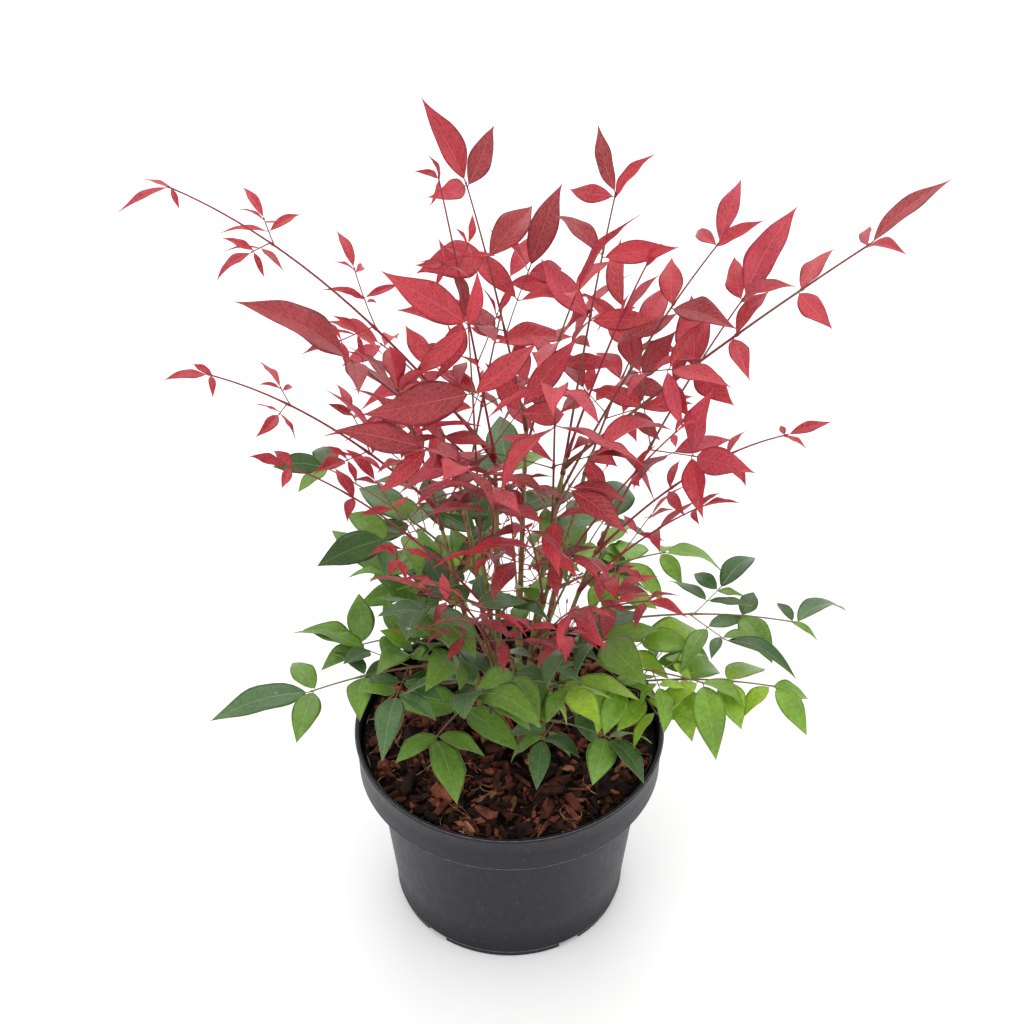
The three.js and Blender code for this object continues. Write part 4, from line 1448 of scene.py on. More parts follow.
# -------------------------------- foliage
@dataclass(frozen=True)
class BladeForm:
    """How a blade is cut and bent: wedged or full at the base, drawn out to a point, folded and wavy."""

    base_wedge: float
    tip_drawn: float
    fold: float
    fold_spread: float
    twist: float
    wave: float
    sickle: float
    arch: float
    hook: float
    side_veins: int
    pale_margin: bool
    belly: float = 0.42
    thickness: float = 0.32
    stalk: float = 0.05
    least_half: float = 0.28
    waves: float = 1.7
    least_wave: float = 0.4
    least_arch: float = 0.2
    arch_spread: float = 1.6
    broad_spread: float = 0.12
    hook_from: float = 0.7
    hook_swell: float = 4
    margin_lag: float = 2.1

    def outline(self, along: Array) -> Array:
        """Half width at each share of the length, as a share of the widest.

        Args:
            along: Shares of the length.

        Returns:
            The half widths.
        """
        power = math.log(0.5) / math.log(self.belly)
        swell = np.sin(math.pi * np.clip(along, 0, 1) ** power)
        drawn = np.where(along < self.belly, self.base_wedge, self.tip_drawn)
        return np.clip(swell, 0, 1) ** drawn


RED_BLADE = BladeForm(base_wedge=1.06, tip_drawn=1.38, fold=15, fold_spread=13, twist=24, wave=0.15,
                      sickle=0.09, arch=0.05, hook=0.09, side_veins=7, pale_margin=False)
GREEN_BLADE = BladeForm(base_wedge=0.84, tip_drawn=1.02, fold=9, fold_spread=8, twist=18, wave=0.1,
                        sickle=0.06, arch=0.07, hook=0.04, side_veins=0, pale_margin=True)


class BladeSurface:
    """The curved middle surface of one leaflet."""

    def __init__(self, leaflet: Leaflet, form: BladeForm) -> None:
        """Draws the leaflet's own fold, twist, waves and bend.

        Args:
            leaflet: The leaflet.
            form: How its kind is cut and bent.
        """
        keys = leaflet.keys
        self.leaflet = leaflet
        self.form = form
        self.fold = math.tan(math.radians(form.fold + vary(form.fold_spread, *keys, Key.FOLD)))
        self.twist = math.radians(vary(form.twist, *keys, Key.TWIST))
        self.wave = form.wave * (form.least_wave + chance(*keys, Key.WAVE))
        self.sickle = vary(form.sickle, *keys, Key.SICKLE)
        self.hook = vary(form.hook, *keys, Key.HOOK)
        self.arch = form.arch * (form.least_arch + form.arch_spread * chance(*keys, Key.ARCH))
        self.phase = 2 * math.pi * chance(*keys, Key.PHASE)
        self.broad = 1 + vary(form.broad_spread, *keys, Key.BROAD)

    def point(self, along: Array, across: Array) -> tuple[Array, Array]:
        """Points of the surface and the way up there.

        Args:
            along: Shares of the length.
            across: From -1 at the left margin to 1 at the right, in the same shape.

        Returns:
            The points and the upward directions.
        """
        leaf, form = self.leaflet, self.form
        start = leaf.root + leaf.direction * (form.stalk * leaf.length)
        reach = leaf.length * (1 - form.stalk)
        half = np.maximum(leaf.half_width * self.broad * form.outline(along), form.least_half * (1 - along))
        rise = self.arch * np.sin(math.pi * along) - leaf.curl * along**2
        hooked = self.hook * np.clip(along - form.hook_from, 0, 1) ** 2 * form.hook_swell
        aside = self.sickle * (along**2 - along) + hooked
        centre = (start + leaf.direction * (reach * along)[..., None]
                  + leaf.normal * (leaf.length * rise)[..., None]
                  + leaf.side * (leaf.length * aside)[..., None])
        angle = (self.twist * along)[..., None]
        sideways = leaf.side * np.cos(angle) + leaf.normal * np.sin(angle)
        upward = leaf.normal * np.cos(angle) - leaf.side * np.sin(angle)
        lag = np.where(across < 0, form.margin_lag, 0)
        ripple = np.sin(2 * math.pi * form.waves * along + self.phase + lag)
        wavy = self.wave * across**2 * ripple * np.sin(math.pi * along)
        height = half * (np.abs(across) * self.fold + wavy)
        width = across * half / math.hypot(1, self.fold)
        return centre + sideways * width[..., None] + upward * height[..., None], upward


class FoliageBuilder:
    """Builds blades and veins of all leaflets into a draft for each tone, and the greens' margins."""

    ROWS = 18
    COLUMNS = 9
    USUAL_LENGTH = 42
    VEIN_SCALES = (0.45, 1.3)
    LEAST_VEINED = 22
    MIDRIB_RADII = (0.3, 0.08)
    MIDRIB_END = 0.95
    MIDRIB_SINK = 0.05
    SIDE_VEIN_RADII = (0.12, 0.05)
    SIDE_VEIN_FEET = (0.08, 0.7)
    SIDE_VEIN_STAGGER = 0.035
    SIDE_VEIN_RUN = 0.24
    SIDE_VEIN_RUN_LOSS = 0.08
    SIDE_VEIN_BEND = 1.5
    SIDE_VEIN_END = 0.84
    SIDE_VEIN_LIFT = 0.02
    MARGIN_RADII = (0.12, 0.09)
    MARGIN_START = 0.02

    def __init__(self) -> None:
        """Prepares the grid that all blades share."""
        self.blades = {tone: MeshDraft() for tone in Tone}
        self.veins = {tone: MeshDraft() for tone in Tone}
        self.margins = MeshDraft()
        self.along, self.across = np.meshgrid(np.linspace(0, 1, self.ROWS), np.linspace(-1, 1, self.COLUMNS),
                                              indexing="ij")
        self.faces = self.grid_faces()

    def grid_faces(self) -> tuple[Array, Array]:
        """Faces of a closed thin blade whose two sides share their margins.

        Returns:
            Its quads and its triangles.
        """
        rows, columns = self.ROWS, self.COLUMNS
        top = np.arange(rows * columns).reshape(rows, columns)
        low = top.copy()
        low[:, 1:-1] = rows * columns + np.arange(rows * (columns - 2)).reshape(rows, columns - 2)
        quads = [faces(top[:-1, :-1], top[:-1, 1:], top[1:, 1:], top[1:, :-1]),
                 faces(low[:-1, :-1], low[1:, :-1], low[1:, 1:], low[:-1, 1:])]
        triangles = []
        for row, flip in ((0, False), (rows - 1, True)):
            for column in range(columns - 1):
                face = [top[row, column], low[row, column], low[row, column + 1], top[row, column + 1]]
                face = list(dict.fromkeys(face[::-1] if flip else face))
                (triangles if len(face) == 3 else quads).append(np.array([face]))
        return np.concatenate(quads), np.concatenate(triangles)

    def add(self, leaflet: Leaflet, form: BladeForm) -> None:
        """Adds one leaflet: its blade, its veins and, if its form has one, its pale margin.

        Args:
            leaflet: The leaflet.
            form: How its kind is cut and bent.
        """
        surface = BladeSurface(leaflet, form)
        points, upward = surface.point(self.along, self.across)
        depth = form.thickness * (1 - self.across**2)
        under = (points - upward * depth[..., None])[:, 1:-1]
        both = np.concatenate([points.reshape(-1, 3), under.reshape(-1, 3)])
        self.blades[leaflet.tone].add(both, *self.faces)
        self.add_veins(surface)
        if form.pale_margin:
            self.add_margins(surface)

    def add_veins(self, surface: BladeSurface) -> None:
        """Adds the midrib and, on the larger red leaflets, the side veins that curve to the margin.

        Args:
            surface: The blade's surface.
        """
        leaflet, draft = surface.leaflet, self.veins[surface.leaflet.tone]
        scale = np.clip(leaflet.length / self.USUAL_LENGTH, *self.VEIN_SCALES)
        along = np.linspace(0, self.MIDRIB_END, 11)
        spine, _ = surface.point(along, np.zeros_like(along))
        radii = scale * mix(*self.MIDRIB_RADII, along)
        add_tube(draft, spine - leaflet.normal * self.MIDRIB_SINK, radii, 4, leaflet.normal)
        count = surface.form.side_veins
        if leaflet.length < self.LEAST_VEINED or not count:
            return
        step = np.linspace(0, 1, 5)
        hands = np.array([1.0, -1.0])
        feet = np.linspace(*self.SIDE_VEIN_FEET, count)[:, None] + np.array([0.0, self.SIDE_VEIN_STAGGER])
        run = self.SIDE_VEIN_RUN - self.SIDE_VEIN_RUN_LOSS * feet[:, :, None]
        path_along = feet[:, :, None] + run * step**self.SIDE_VEIN_BEND
        path_across = np.broadcast_to(hands[None, :, None] * step * self.SIDE_VEIN_END, path_along.shape)
        paths, lift = surface.point(path_along.reshape(-1, 5), path_across.reshape(-1, 5))
        radii = np.broadcast_to(scale * mix(*self.SIDE_VEIN_RADII, step), (2 * count, 5))
        add_tubes(draft, paths + lift * self.SIDE_VEIN_LIFT, radii, 3, leaflet.normal)

    def add_margins(self, surface: BladeSurface) -> None:
        """Adds the thin pale rim along both margins.

        Args:
            surface: The blade's surface.
        """
        along = np.linspace(self.MARGIN_START, 1, 12)
        paths = np.stack([surface.point(along, np.full_like(along, hand))[0] for hand in (1.0, -1.0)])
        radii = np.broadcast_to(mix(*self.MARGIN_RADII, along), (2, len(along)))
        add_tubes(self.margins, paths, radii, 3, surface.leaflet.normal)


@dataclass
class Foliage:
    """All fronds: rachises and stalks, blades, veins and margins, each kind in joined pieces."""

    rachis_radii: Pair = (0.8, 0.42)
    stalk_radii: Pair = (0.38, 0.3)
    leaf_stalk_radii: Pair = (0.34, 0.26)
    leaf_stalk_share: float = 0.06
    leaf_stalk_scales: Pair = (0.6, 1.2)
    usual_length: float = 40
    sheath: float = 1.1
    sheath_reach: float = 7
    swelling: float = 0.7
    swelling_reach: float = 1.1
    bulge_room: float = 1.6
    stalk_rings: tuple[Pair, ...] = ((0, 1.7), (0.06, 1.1), (0.3, 1.0), (0.6, 1.0), (0.93, 1.1), (1.0, 1.7))
    steep: float = 0.7

    def build(self, fronds: Sequence[Frond]) -> None:
        """Builds and places every piece of foliage.

        Args:
            fronds: The grown fronds.
        """
        twigs = {kind: MeshDraft() for kind in TwigKind}
        builder = FoliageBuilder()
        for frond in fronds:
            kind = frond.plan.habit.twigs
            form = GREEN_BLADE if kind is TwigKind.GREEN else RED_BLADE
            self.add_rachis(twigs[kind], frond)
            for stalk in frond.stalks:
                self.add_stalk(twigs[kind], stalk)
            for leaflet in frond.leaflets:
                self.add_leaf_stalk(twigs[kind], leaflet)
                builder.add(leaflet, form)
        for kind, draft in twigs.items():
            names = [frond.plan.name for frond in fronds if frond.plan.habit.twigs is kind]
            place(draft.build(kind.label, kind.finish.material()), names)
        margin = TwigFinish("leaf_margin_skin", linear(150, 166, 92), linear(168, 180, 110))
        place(builder.margins.build("green_leaf_margins", margin.material()))
        for tone, draft in builder.blades.items():
            place(draft.build(f"{tone.label}_leaves", tone.finish().material()))
            vein = TwigFinish(f"{tone.label}_vein_skin", tone.vein, shaded(tone.vein, 1.12))
            place(builder.veins[tone].build(f"{tone.label}_veins", vein.material()))

    def add_rachis(self, draft: MeshDraft, frond: Frond) -> None:
        """Adds a rachis with its clasping sheath and a swelling at each node.

        Args:
            draft: Where it goes.
            frond: The frond.
        """
        nodes = np.array(frond.nodes)
        length = float(np.linalg.norm(frond.curve.end - frond.curve.start))
        bulge = self.bulge_room / length
        shares = np.unique(np.concatenate([np.linspace(0, 1, 21), nodes, nodes - bulge, nodes + bulge / 2]))
        shares = shares[(shares >= 0) & (shares <= 1)]
        radii = frond.plan.thick * mix(*self.rachis_radii, shares)
        radii = radii * (1 + self.sheath * np.exp(-(shares * length / self.sheath_reach) ** 2))
        near = np.abs(shares[:, None] - nodes[None]).min(axis=1) * length
        radii = radii * (1 + self.swelling * np.exp(-(near / self.swelling_reach) ** 2))
        add_tube(draft, frond.curve.points(shares), radii, 8, vec(0.31, 0.95, 0.05))

    def add_stalk(self, draft: MeshDraft, stalk: Arch) -> None:
        """Adds the stalk of a pinna, thicker at its foot and at its end node.

        Args:
            draft: Where it goes.
            stalk: The stalk's line.
        """
        shares, swell = np.array(self.stalk_rings).T
        radii = swell * mix(*self.stalk_radii, shares)
        steep = abs(unit(stalk.end - stalk.start)[2]) > self.steep
        add_tube(draft, stalk.points(shares), radii, 6, vec(0, 1, 0) if steep else UP)

    def add_leaf_stalk(self, draft: MeshDraft, leaflet: Leaflet) -> None:
        """Adds the short stalk between the node and the blade.

        Args:
            draft: Where it goes.
            leaflet: The leaflet that it holds.
        """
        end = leaflet.root + leaflet.direction * (leaflet.length * self.leaf_stalk_share)
        shares = np.array([0, 0.5, 1.0])
        path = leaflet.root + (end - leaflet.root) * shares[:, None]
        scale = np.clip(leaflet.length / self.usual_length, *self.leaf_stalk_scales)
        radii = scale * mix(*self.leaf_stalk_radii, shares)
        add_tube(draft, path, radii, 5, leaflet.normal)


# -------------------------------- canes
@dataclass
class CaneStand:
    """The canes, with bark ridges and node rings, three short red shoots, and sprigs with closed buds."""

    sides: int = 20
    step: float = 2.2
    node_gap: float = 21
    node_shift: float = 6
    node_draw: int = 3
    ring_height: float = 0.28
    ring_width: float = 1.3
    scar_height: float = 0.1
    scar_width: float = 2.6
    scar_rise: float = 3.2
    ridge: float = 0.07
    girth: Pair = (0.95, 0.72)
    flushed: float = 0.36
    sprigs: int = 7
    sprig_length: Pair = (9, 24)
    sprig_place: Pair = (0.42, 0.86)
    sprig_radii: Pair = (0.36, 0.22)
    side_turn: float = 60
    side_share: float = 0.45
    sprig_bend: float = 0.55
    sprig_rise: float = 0.3
    bud: float = 3.6
    bud_radii: tuple[float, ...] = (0.24, 0.6, 0.68, 0.44, 0.08)
    shoots: tuple[CanePlan, ...] = (
        CanePlan("shoot_left", (-18.5, 1), (-21, -1, 152), (2.5, 1.1)),
        CanePlan("shoot_middle", (-4.5, -4.5), (-3, -6, 150), (2.5, 1.2)),
        CanePlan("shoot_right", (3.5, -1), (-3, -2.5, 149), (2.3, 1.0)),
    )

    def build(self) -> None:
        """Builds and places the canes, the shoots and the sprigs."""
        bark = BarkFinish("cane_bark_skin", linear(150, 138, 76), linear(84, 72, 40),
                          linear(128, 62, 48), self.flushed)
        for i, cane in enumerate(CANES):
            draft = MeshDraft()
            self.add_cane(draft, cane, i)
            place(draft.build(f"{cane.name}_bark", bark.material()), [cane.name])
        young = TwigFinish("shoot_skin", linear(150, 40, 46), linear(186, 70, 66))
        draft = MeshDraft()
        for i, shoot in enumerate(self.shoots):
            self.add_cane(draft, shoot, len(CANES) + i)
        place(draft.build("young_shoots", young.material()))
        fresh = TwigFinish("sprig_skin", linear(150, 34, 50), linear(178, 66, 68))
        draft = MeshDraft()
        for i, cane in enumerate(CANES):
            self.add_sprigs(draft, cane.curve(), i)
        place(draft.build("young_sprigs", fresh.material()))

    def add_sprigs(self, draft: MeshDraft, curve: Arch, index: int) -> None:
        """Adds short bent sprigs with closed buds, from the middle of a cane almost to its top.

        Args:
            draft: Where they go.
            curve: The cane's line.
            index: Its number, which chance depends on.
        """
        for i in range(self.sprigs):
            height, turned, size, steep = (chance(index, i, k, Key.SPRIG) for k in range(4))
            outward = turn(vec(1, 0, 0), UP, 360 * turned)
            length = mix(*self.sprig_length, size)
            sprig = self.sprig(curve.point(mix(*self.sprig_place, height)), outward, steep, length)
            self.add_sprig(draft, sprig)
            aside = turn(outward, UP, -self.side_turn if i % 2 else self.side_turn)
            self.add_sprig(draft, self.sprig(sprig.point(0.5), aside, 0.5, self.side_share * length))

    def sprig(self, start: Array, outward: Array, steep: float, length: float) -> Arch:
        """The line of a sprig that leaves its cane outwards and bends up."""
        way, rise = unit(outward + UP * steep), UP * (self.sprig_rise * length)
        return Arch(start, start + way * (self.sprig_bend * length), start + way * length + rise)

    def add_sprig(self, draft: MeshDraft, line: Arch) -> None:
        """Adds a sprig and the bud at its end.

        Args:
            draft: Where they go.
            line: The sprig's line.
        """
        reference = np.cross(line.end - line.start, UP)
        add_tube(draft, line.points(np.linspace(0, 1, 7)), np.linspace(*self.sprig_radii, 7), 5, reference)
        bud = line.end + line.tangent(1) * np.linspace(0, self.bud, len(self.bud_radii))[:, None]
        add_tube(draft, bud, np.array(self.bud_radii), 6, reference)

    def add_cane(self, draft: MeshDraft, cane: CanePlan, index: int) -> None:
        """Adds one cane: a ridged tube, ringed at each node.

        Args:
            draft: Where it goes.
            cane: Its plan.
            index: Its number, which chance depends on.
        """
        curve = cane.curve()
        length = float(np.linalg.norm(curve.end - curve.start))
        shares = np.linspace(0, 1, int(length / self.step))
        height = shares * length + vary(self.node_shift, index, self.node_draw)
        phase = (height % self.node_gap) - self.node_gap / 2
        ring = np.exp(-(phase / self.ring_width) ** 2) * self.ring_height
        scar = np.exp(-((phase - self.scar_rise) / self.scar_width) ** 2) * self.scar_height
        radius = np.array([cane.radius(share) for share in shares]) * (1 + (ring + scar))
        radius *= mix(*self.girth, shares)
        radius[-2:] *= (0.8, 0.35)
        angle = full_turn(self.sides)
        ridges = self.ridge * np.sin(5 * angle + index) + 0.5 * self.ridge * np.sin(9 * angle + 2 * index)
        along = curve.tangent(0.5)
        across = unit(vec(1, 0, 0) - along * along[0])
        around = np.cos(angle)[:, None] * across + np.sin(angle)[:, None] * np.cross(along, across)
        points = curve.points(shares)[:, None] + around * (radius[:, None] * (1 + ridges))[..., None]
        draft.add(points, *tube_faces(1, len(shares), self.sides))


# -------------------------------- pot
@dataclass
class NurseryPot:
    """The moulded pot: rolled rim, collar, stepped body with a faint seam, foot ring and notches."""

    height: float = 135
    rim_radius: float = 95
    rim_width: float = 3
    rim_depth: float = 3
    collar_top: float = 93.9
    collar_foot: float = 92.8
    collar_z: float = 107.5
    body_top: float = 82.7
    body_foot: float = 72
    foot_radius: float = 71.3
    foot_height: float = 5
    wall: float = 1.5
    floor: float = 2.4
    sides: int = 288
    notches: int = 5
    notch_bearing: float = 14
    notch_width: float = 15
    notch_depth: float = 9
    notch_height: float = 4
    foot_points: int = 9
    crease: float = 32
    # Radius of the pale bands painted on the pot's edges as highlights.
    painted_highlight: float = 0.24

    def body_radius(self, z: float) -> float:
        """Outer radius of the tapered body at a height."""
        share = (z - self.foot_height) / (self.collar_z - self.foot_height)
        return mix(self.body_foot, self.body_top, share)

    def profile(self) -> Array:
        """Radii and heights of the pot's section, from its underside up its outside and down inside.

        Returns:
            One radius and height a row.
        """
        foot, body, collar = self.foot_radius, self.body_foot, self.collar_foot
        low, ledge, half = self.foot_height, self.collar_z, self.rim_width / 2
        shelf, rim_low = self.collar_z + self.wall, self.height - self.rim_depth
        bead = [(self.rim_radius - half + half * math.cos(a), self.height - half + half * math.sin(a))
                for a in np.linspace(0, math.pi, 9)]
        return np.array([
            (foot - 12, 0.6), (foot - 9, 0.0), (foot - 4, 0.0), (foot - 0.6, 0.0), (foot, 0.6),
            (foot + 0.1, low - 0.7), (body - 0.1, low - 0.5), (body + 0.35, low), (body + 0.3, low + 0.5),
            (body + 0.1, low + 1), *((self.body_radius(z), z) for z in (30, 60, 90, ledge - 2.2)),
            (self.body_top, ledge - 0.6), (self.body_top + 0.5, ledge), (collar - 0.9, ledge),
            (collar - 0.2, ledge + 0.2), (collar, ledge + 0.9), (collar + 0.25, ledge + 3),
            (mix(collar, self.collar_top, 0.55), 121), (self.collar_top - 0.1, rim_low - 0.6),
            (self.collar_top + 0.2, rim_low), (self.rim_radius - 0.4, rim_low + 0.1), *bead,
            (self.rim_radius - self.rim_width - 0.1, rim_low), (collar - self.wall, shelf),
            (self.body_radius(shelf) - self.wall, shelf), (foot - self.wall, self.floor),
        ])

    def build(self) -> None:
        """Builds and places the pot and the pale hairline bands painted on its edges as highlights."""
        profile = self.profile()
        edge = math.degrees(self.notch_width / 2 / self.foot_radius)
        angles = set(np.linspace(0, 360, self.sides, endpoint=False).round(4))
        for i in range(self.notches):
            middle = self.notch_bearing + 360 * i / self.notches
            angles |= {round(middle + side * (edge + gap), 4) for side in (1, -1) for gap in (-0.02, 0.02)}
        angle = np.array(sorted(angles))
        off = (angle - self.notch_bearing) % (360 / self.notches)
        off = np.minimum(off, 360 / self.notches - off)
        cut = off < edge
        radius, z = profile[:, 0], profile[:, 1]
        low = (radius > self.foot_radius - self.notch_depth / 2) & (z < self.notch_height)
        low[self.foot_points:] = False
        rings = polar(radius, np.radians(angle)[:, None], np.where(cut[:, None] & low, self.notch_height, z))
        count, size = len(angle), len(profile)
        grid = np.arange(count * size).reshape(count, size)
        after = np.roll(grid, -1, axis=0)
        quads = faces(grid[:, :-1], after[:, :-1], after[:, 1:], grid[:, 1:])
        middle = count * size
        points = np.concatenate([rings.reshape(-1, 3), [[0, 0, profile[0, 1]], [0, 0, self.floor]]])
        under, inside = faces(middle, after[:, 0], grid[:, 0]), faces(middle + 1, grid[:, -1], after[:, -1])
        draft = MeshDraft()
        draft.add(points, quads, under, inside)
        piece = draft.build("pot_shell", PotFinish().material())
        piece.data.set_sharp_from_angle(angle=math.radians(self.crease))
        place(piece, ["pot"])
        # Painted highlights: pale hairline bands along the foot, collar and rim edges.
        painted_highlight = TwigFinish("painted_highlight_edge_skin", linear(74, 74, 80), linear(112, 112, 118))
        place(self.painted_highlight_edges().build("painted_highlight_pot_edges", painted_highlight.material()))

    def painted_highlight_edges(self) -> MeshDraft:
        """Hairline pale bands along the foot, collar and rim edges: painted highlights where those edges
        catch the light.

        Returns:
            The draft of all three.
        """
        angle = np.linspace(0, 2 * math.pi, self.sides + 1)
        foot = (self.body_foot + 0.3, self.foot_height + 0.1)
        collar = (self.collar_foot, self.collar_z + 0.5)
        rim = (self.rim_radius - 0.7, self.height - 0.35)
        draft = MeshDraft()
        for radius, z in (foot, collar, rim):
            add_tube(draft, polar(radius, angle, z), np.full(len(angle), self.painted_highlight), 4)
        return draft


# -------------------------------- mulch
@dataclass(frozen=True)
class ChipKind:
    """One tone of bark chips: its share of the chips and its colours."""

    name: str
    weight: float
    dark: Colour
    light: Colour


@dataclass
class BarkMulch:
    """The filling's top: an uneven bed in soil colour darkened to near black as painted shade in the gaps
    between chips, bark chips in five tones, crumbs and fine pale roots.
    """

    radius: float = 90.2
    foot: float = 118.4
    top: float = 123.4
    relief: float = 1.6
    rings: int = 46
    spokes: int = 150
    chips: int = 1050
    crumbs: int = 1100
    chip_length: float = 7.6
    crumb_length: float = 3.4
    stretch: Pair = (0.6, 1.9)
    slimness: Pair = (0.26, 0.62)
    flatness: Pair = (0.35, 0.8)
    least_depth: float = 0.9
    ring_places: tuple[float, ...] = (-0.5, -0.36, 0.34, 0.5)
    slant: float = 0.35
    pitched: float = 0.34
    rolled: float = 0.6
    sunk: float = 0.25
    heap: Pair = (-0.6, 3.4)
    roots: int = 60
    root_steps: int = 20
    root_margin: float = 1.5
    root_lift: float = 2.6
    root_arch: float = 1.6
    root_reach: Pair = (14, 55)
    root_radii: Pair = (0.14, 0.32)
    seed: int = 11
    kinds: tuple[ChipKind, ...] = (
        ChipKind("dark", 0.3, linear(22, 13, 10), linear(40, 24, 18)),
        ChipKind("brown", 0.3, linear(46, 26, 20), linear(68, 39, 30)),
        ChipKind("russet", 0.22, linear(74, 38, 27), linear(100, 53, 39)),
        ChipKind("rust", 0.13, linear(106, 55, 38), linear(140, 78, 56)),
        ChipKind("tan", 0.05, linear(128, 84, 56), linear(168, 118, 84)),
    )

    def level(self, x: Values, y: Values) -> Values:
        """Height of the bed at a place.

        Args:
            x: How far right of the middle.
            y: How far back.

        Returns:
            The height.
        """
        wave = np.sin(0.11 * x + 1.3) * np.cos(0.13 * y - 0.4) + 0.5 * np.sin(0.29 * (x - y))
        fine = 0.35 * np.sin(0.83 * x + 1.1 * y) * np.cos(0.71 * y - 0.9 * x)
        return self.top + self.relief * (0.6 * wave + fine - 0.4 * (np.hypot(x, y) / self.radius) ** 2)

    def build(self) -> None:
        """Builds and places the bed, chips, crumbs and roots."""
        draw = np.random.default_rng(self.seed)
        # The bed is darker than the root ball's peat: soil colour plus painted shade for the gaps between
        # chips.
        soil_and_gap_shade = ChipFinish("soil_and_gap_shade_skin", linear(12, 8, 6), linear(28, 18, 13))
        bed = self.bed().build("mulch_bed", soil_and_gap_shade.material())
        place(bed, ["bark_mulch"])
        drafts = [MeshDraft() for _ in self.kinds]
        weights = [kind.weight for kind in self.kinds]
        sizes = ((self.chips, self.chip_length, 1.0), (self.crumbs, self.crumb_length, 0.8))
        for count, usual, lift in sizes:
            for _ in range(count):
                draft = drafts[draw.choice(len(self.kinds), p=weights)]
                self.add_chip(draft, draw, usual, lift)
        for kind, draft in zip(self.kinds, drafts):
            finish = ChipFinish(f"{kind.name}_chip_skin", kind.dark, kind.light)
            place(draft.build(f"{kind.name}_bark_chips", finish.material(), smooth=False))
        fibre = TwigFinish("root_fibre_skin", linear(140, 92, 62), linear(208, 164, 124), 0.7)
        place(self.fibres(draw).build("fine_roots", fibre.material()))

    def bed(self) -> MeshDraft:
        """The uneven bed, soil colour darkened to near black as painted shade between the chips, closed
        underneath.

        Returns:
            Its draft.
        """
        top = polar(np.linspace(0, self.radius, self.rings + 1)[1:, None], full_turn(self.spokes), 0.0)
        top[..., 2] = self.level(top[..., 0], top[..., 1])
        rim = top[-1:] * vec(1, 1, 0) + vec(0, 0, self.foot)
        centre = [[0, 0, self.level(0.0, 0.0)], [0, 0, self.foot]]
        points = np.concatenate([np.concatenate([top, rim]).reshape(-1, 3), centre])
        grid = np.arange((self.rings + 1) * self.spokes).reshape(self.rings + 1, self.spokes)
        after = np.roll(grid, -1, axis=1)
        quads = faces(grid[:-1], grid[1:], after[1:], after[:-1])
        inner, under = faces(grid.size, grid[0], after[0]), faces(grid.size + 1, after[-1], grid[-1])
        draft = MeshDraft()
        draft.add(points, quads, inner, under)
        return draft

    def add_chip(self, draft: MeshDraft, draw: np.random.Generator, usual: float, lift: float) -> None:
        """Adds one splintered chip that lies on the bed.

        Args:
            draft: Where it goes.
            draw: The source of chance.
            usual: Its usual length.
            lift: How high chips are heaped, as a share.
        """
        length = usual * draw.uniform(*self.stretch)
        width = length * draw.uniform(*self.slimness)
        depth = max(self.least_depth, width * draw.uniform(*self.flatness))
        rings, sides = len(self.ring_places), 6
        angle = 2 * math.pi * (np.arange(sides) + draw.uniform(-0.3, 0.3, sides)) / sides
        along = np.array(self.ring_places) + draw.uniform(-0.05, 0.05, rings)
        girth = np.array([draw.uniform(0.3, 0.8), 1, draw.uniform(0.75, 1), draw.uniform(0.2, 0.75)])
        slant = draw.uniform(-self.slant, self.slant, 2)
        shape = np.zeros((rings, sides, 3))
        lean = np.linspace(*slant, rings)[:, None]
        shape[..., 0] = (along * length)[:, None] + np.cos(angle) * width * lean
        shape[..., 1] = girth[:, None] * np.cos(angle) * width / 2 + draw.normal(0, 0.05, (rings, 1)) * length
        shape[..., 2] = girth[:, None] * np.sin(angle) * depth / 2 * draw.uniform(0.9, 1.1, (rings, sides))
        yaw = draw.uniform(0, 2 * math.pi)
        turning = self.rotation(yaw, draw.normal(0, self.pitched), draw.normal(0, self.rolled))
        distance = (self.radius - 0.56 * length) * math.sqrt(draw.uniform(0.0, 1.0))
        bearing = draw.uniform(0, 2 * math.pi)
        x, y = distance * math.cos(bearing), distance * math.sin(bearing)
        z = self.level(x, y) + depth * self.sunk + lift * draw.uniform(*self.heap)
        points = shape.reshape(-1, 3) @ turning.T + vec(x, y, z)
        outer = np.hypot(points[:, 0], points[:, 1])
        points[:, :2] *= np.minimum(1, (self.radius + 0.6) / np.maximum(outer, 1))[:, None]
        draft.add(points, *tube_faces(1, rings, sides))

    @staticmethod
    def rotation(yaw: float, pitch: float, roll: float) -> Array:
        """A rotation matrix from three angles in radians.

        Args:
            yaw: The turn about the upright axis.
            pitch: The tilt.
            roll: The turn about its own length.

        Returns:
            The matrix.
        """
        cy, sy, cp, sp, cr, sr = (f(a) for a in (yaw, pitch, roll) for f in (math.cos, math.sin))
        spin = np.array([[cy, -sy, 0], [sy, cy, 0], [0, 0, 1]])
        tilt = np.array([[cp, 0, sp], [0, 1, 0], [-sp, 0, cp]])
        bank = np.array([[1, 0, 0], [0, cr, -sr], [0, sr, cr]])
        return spin @ tilt @ bank

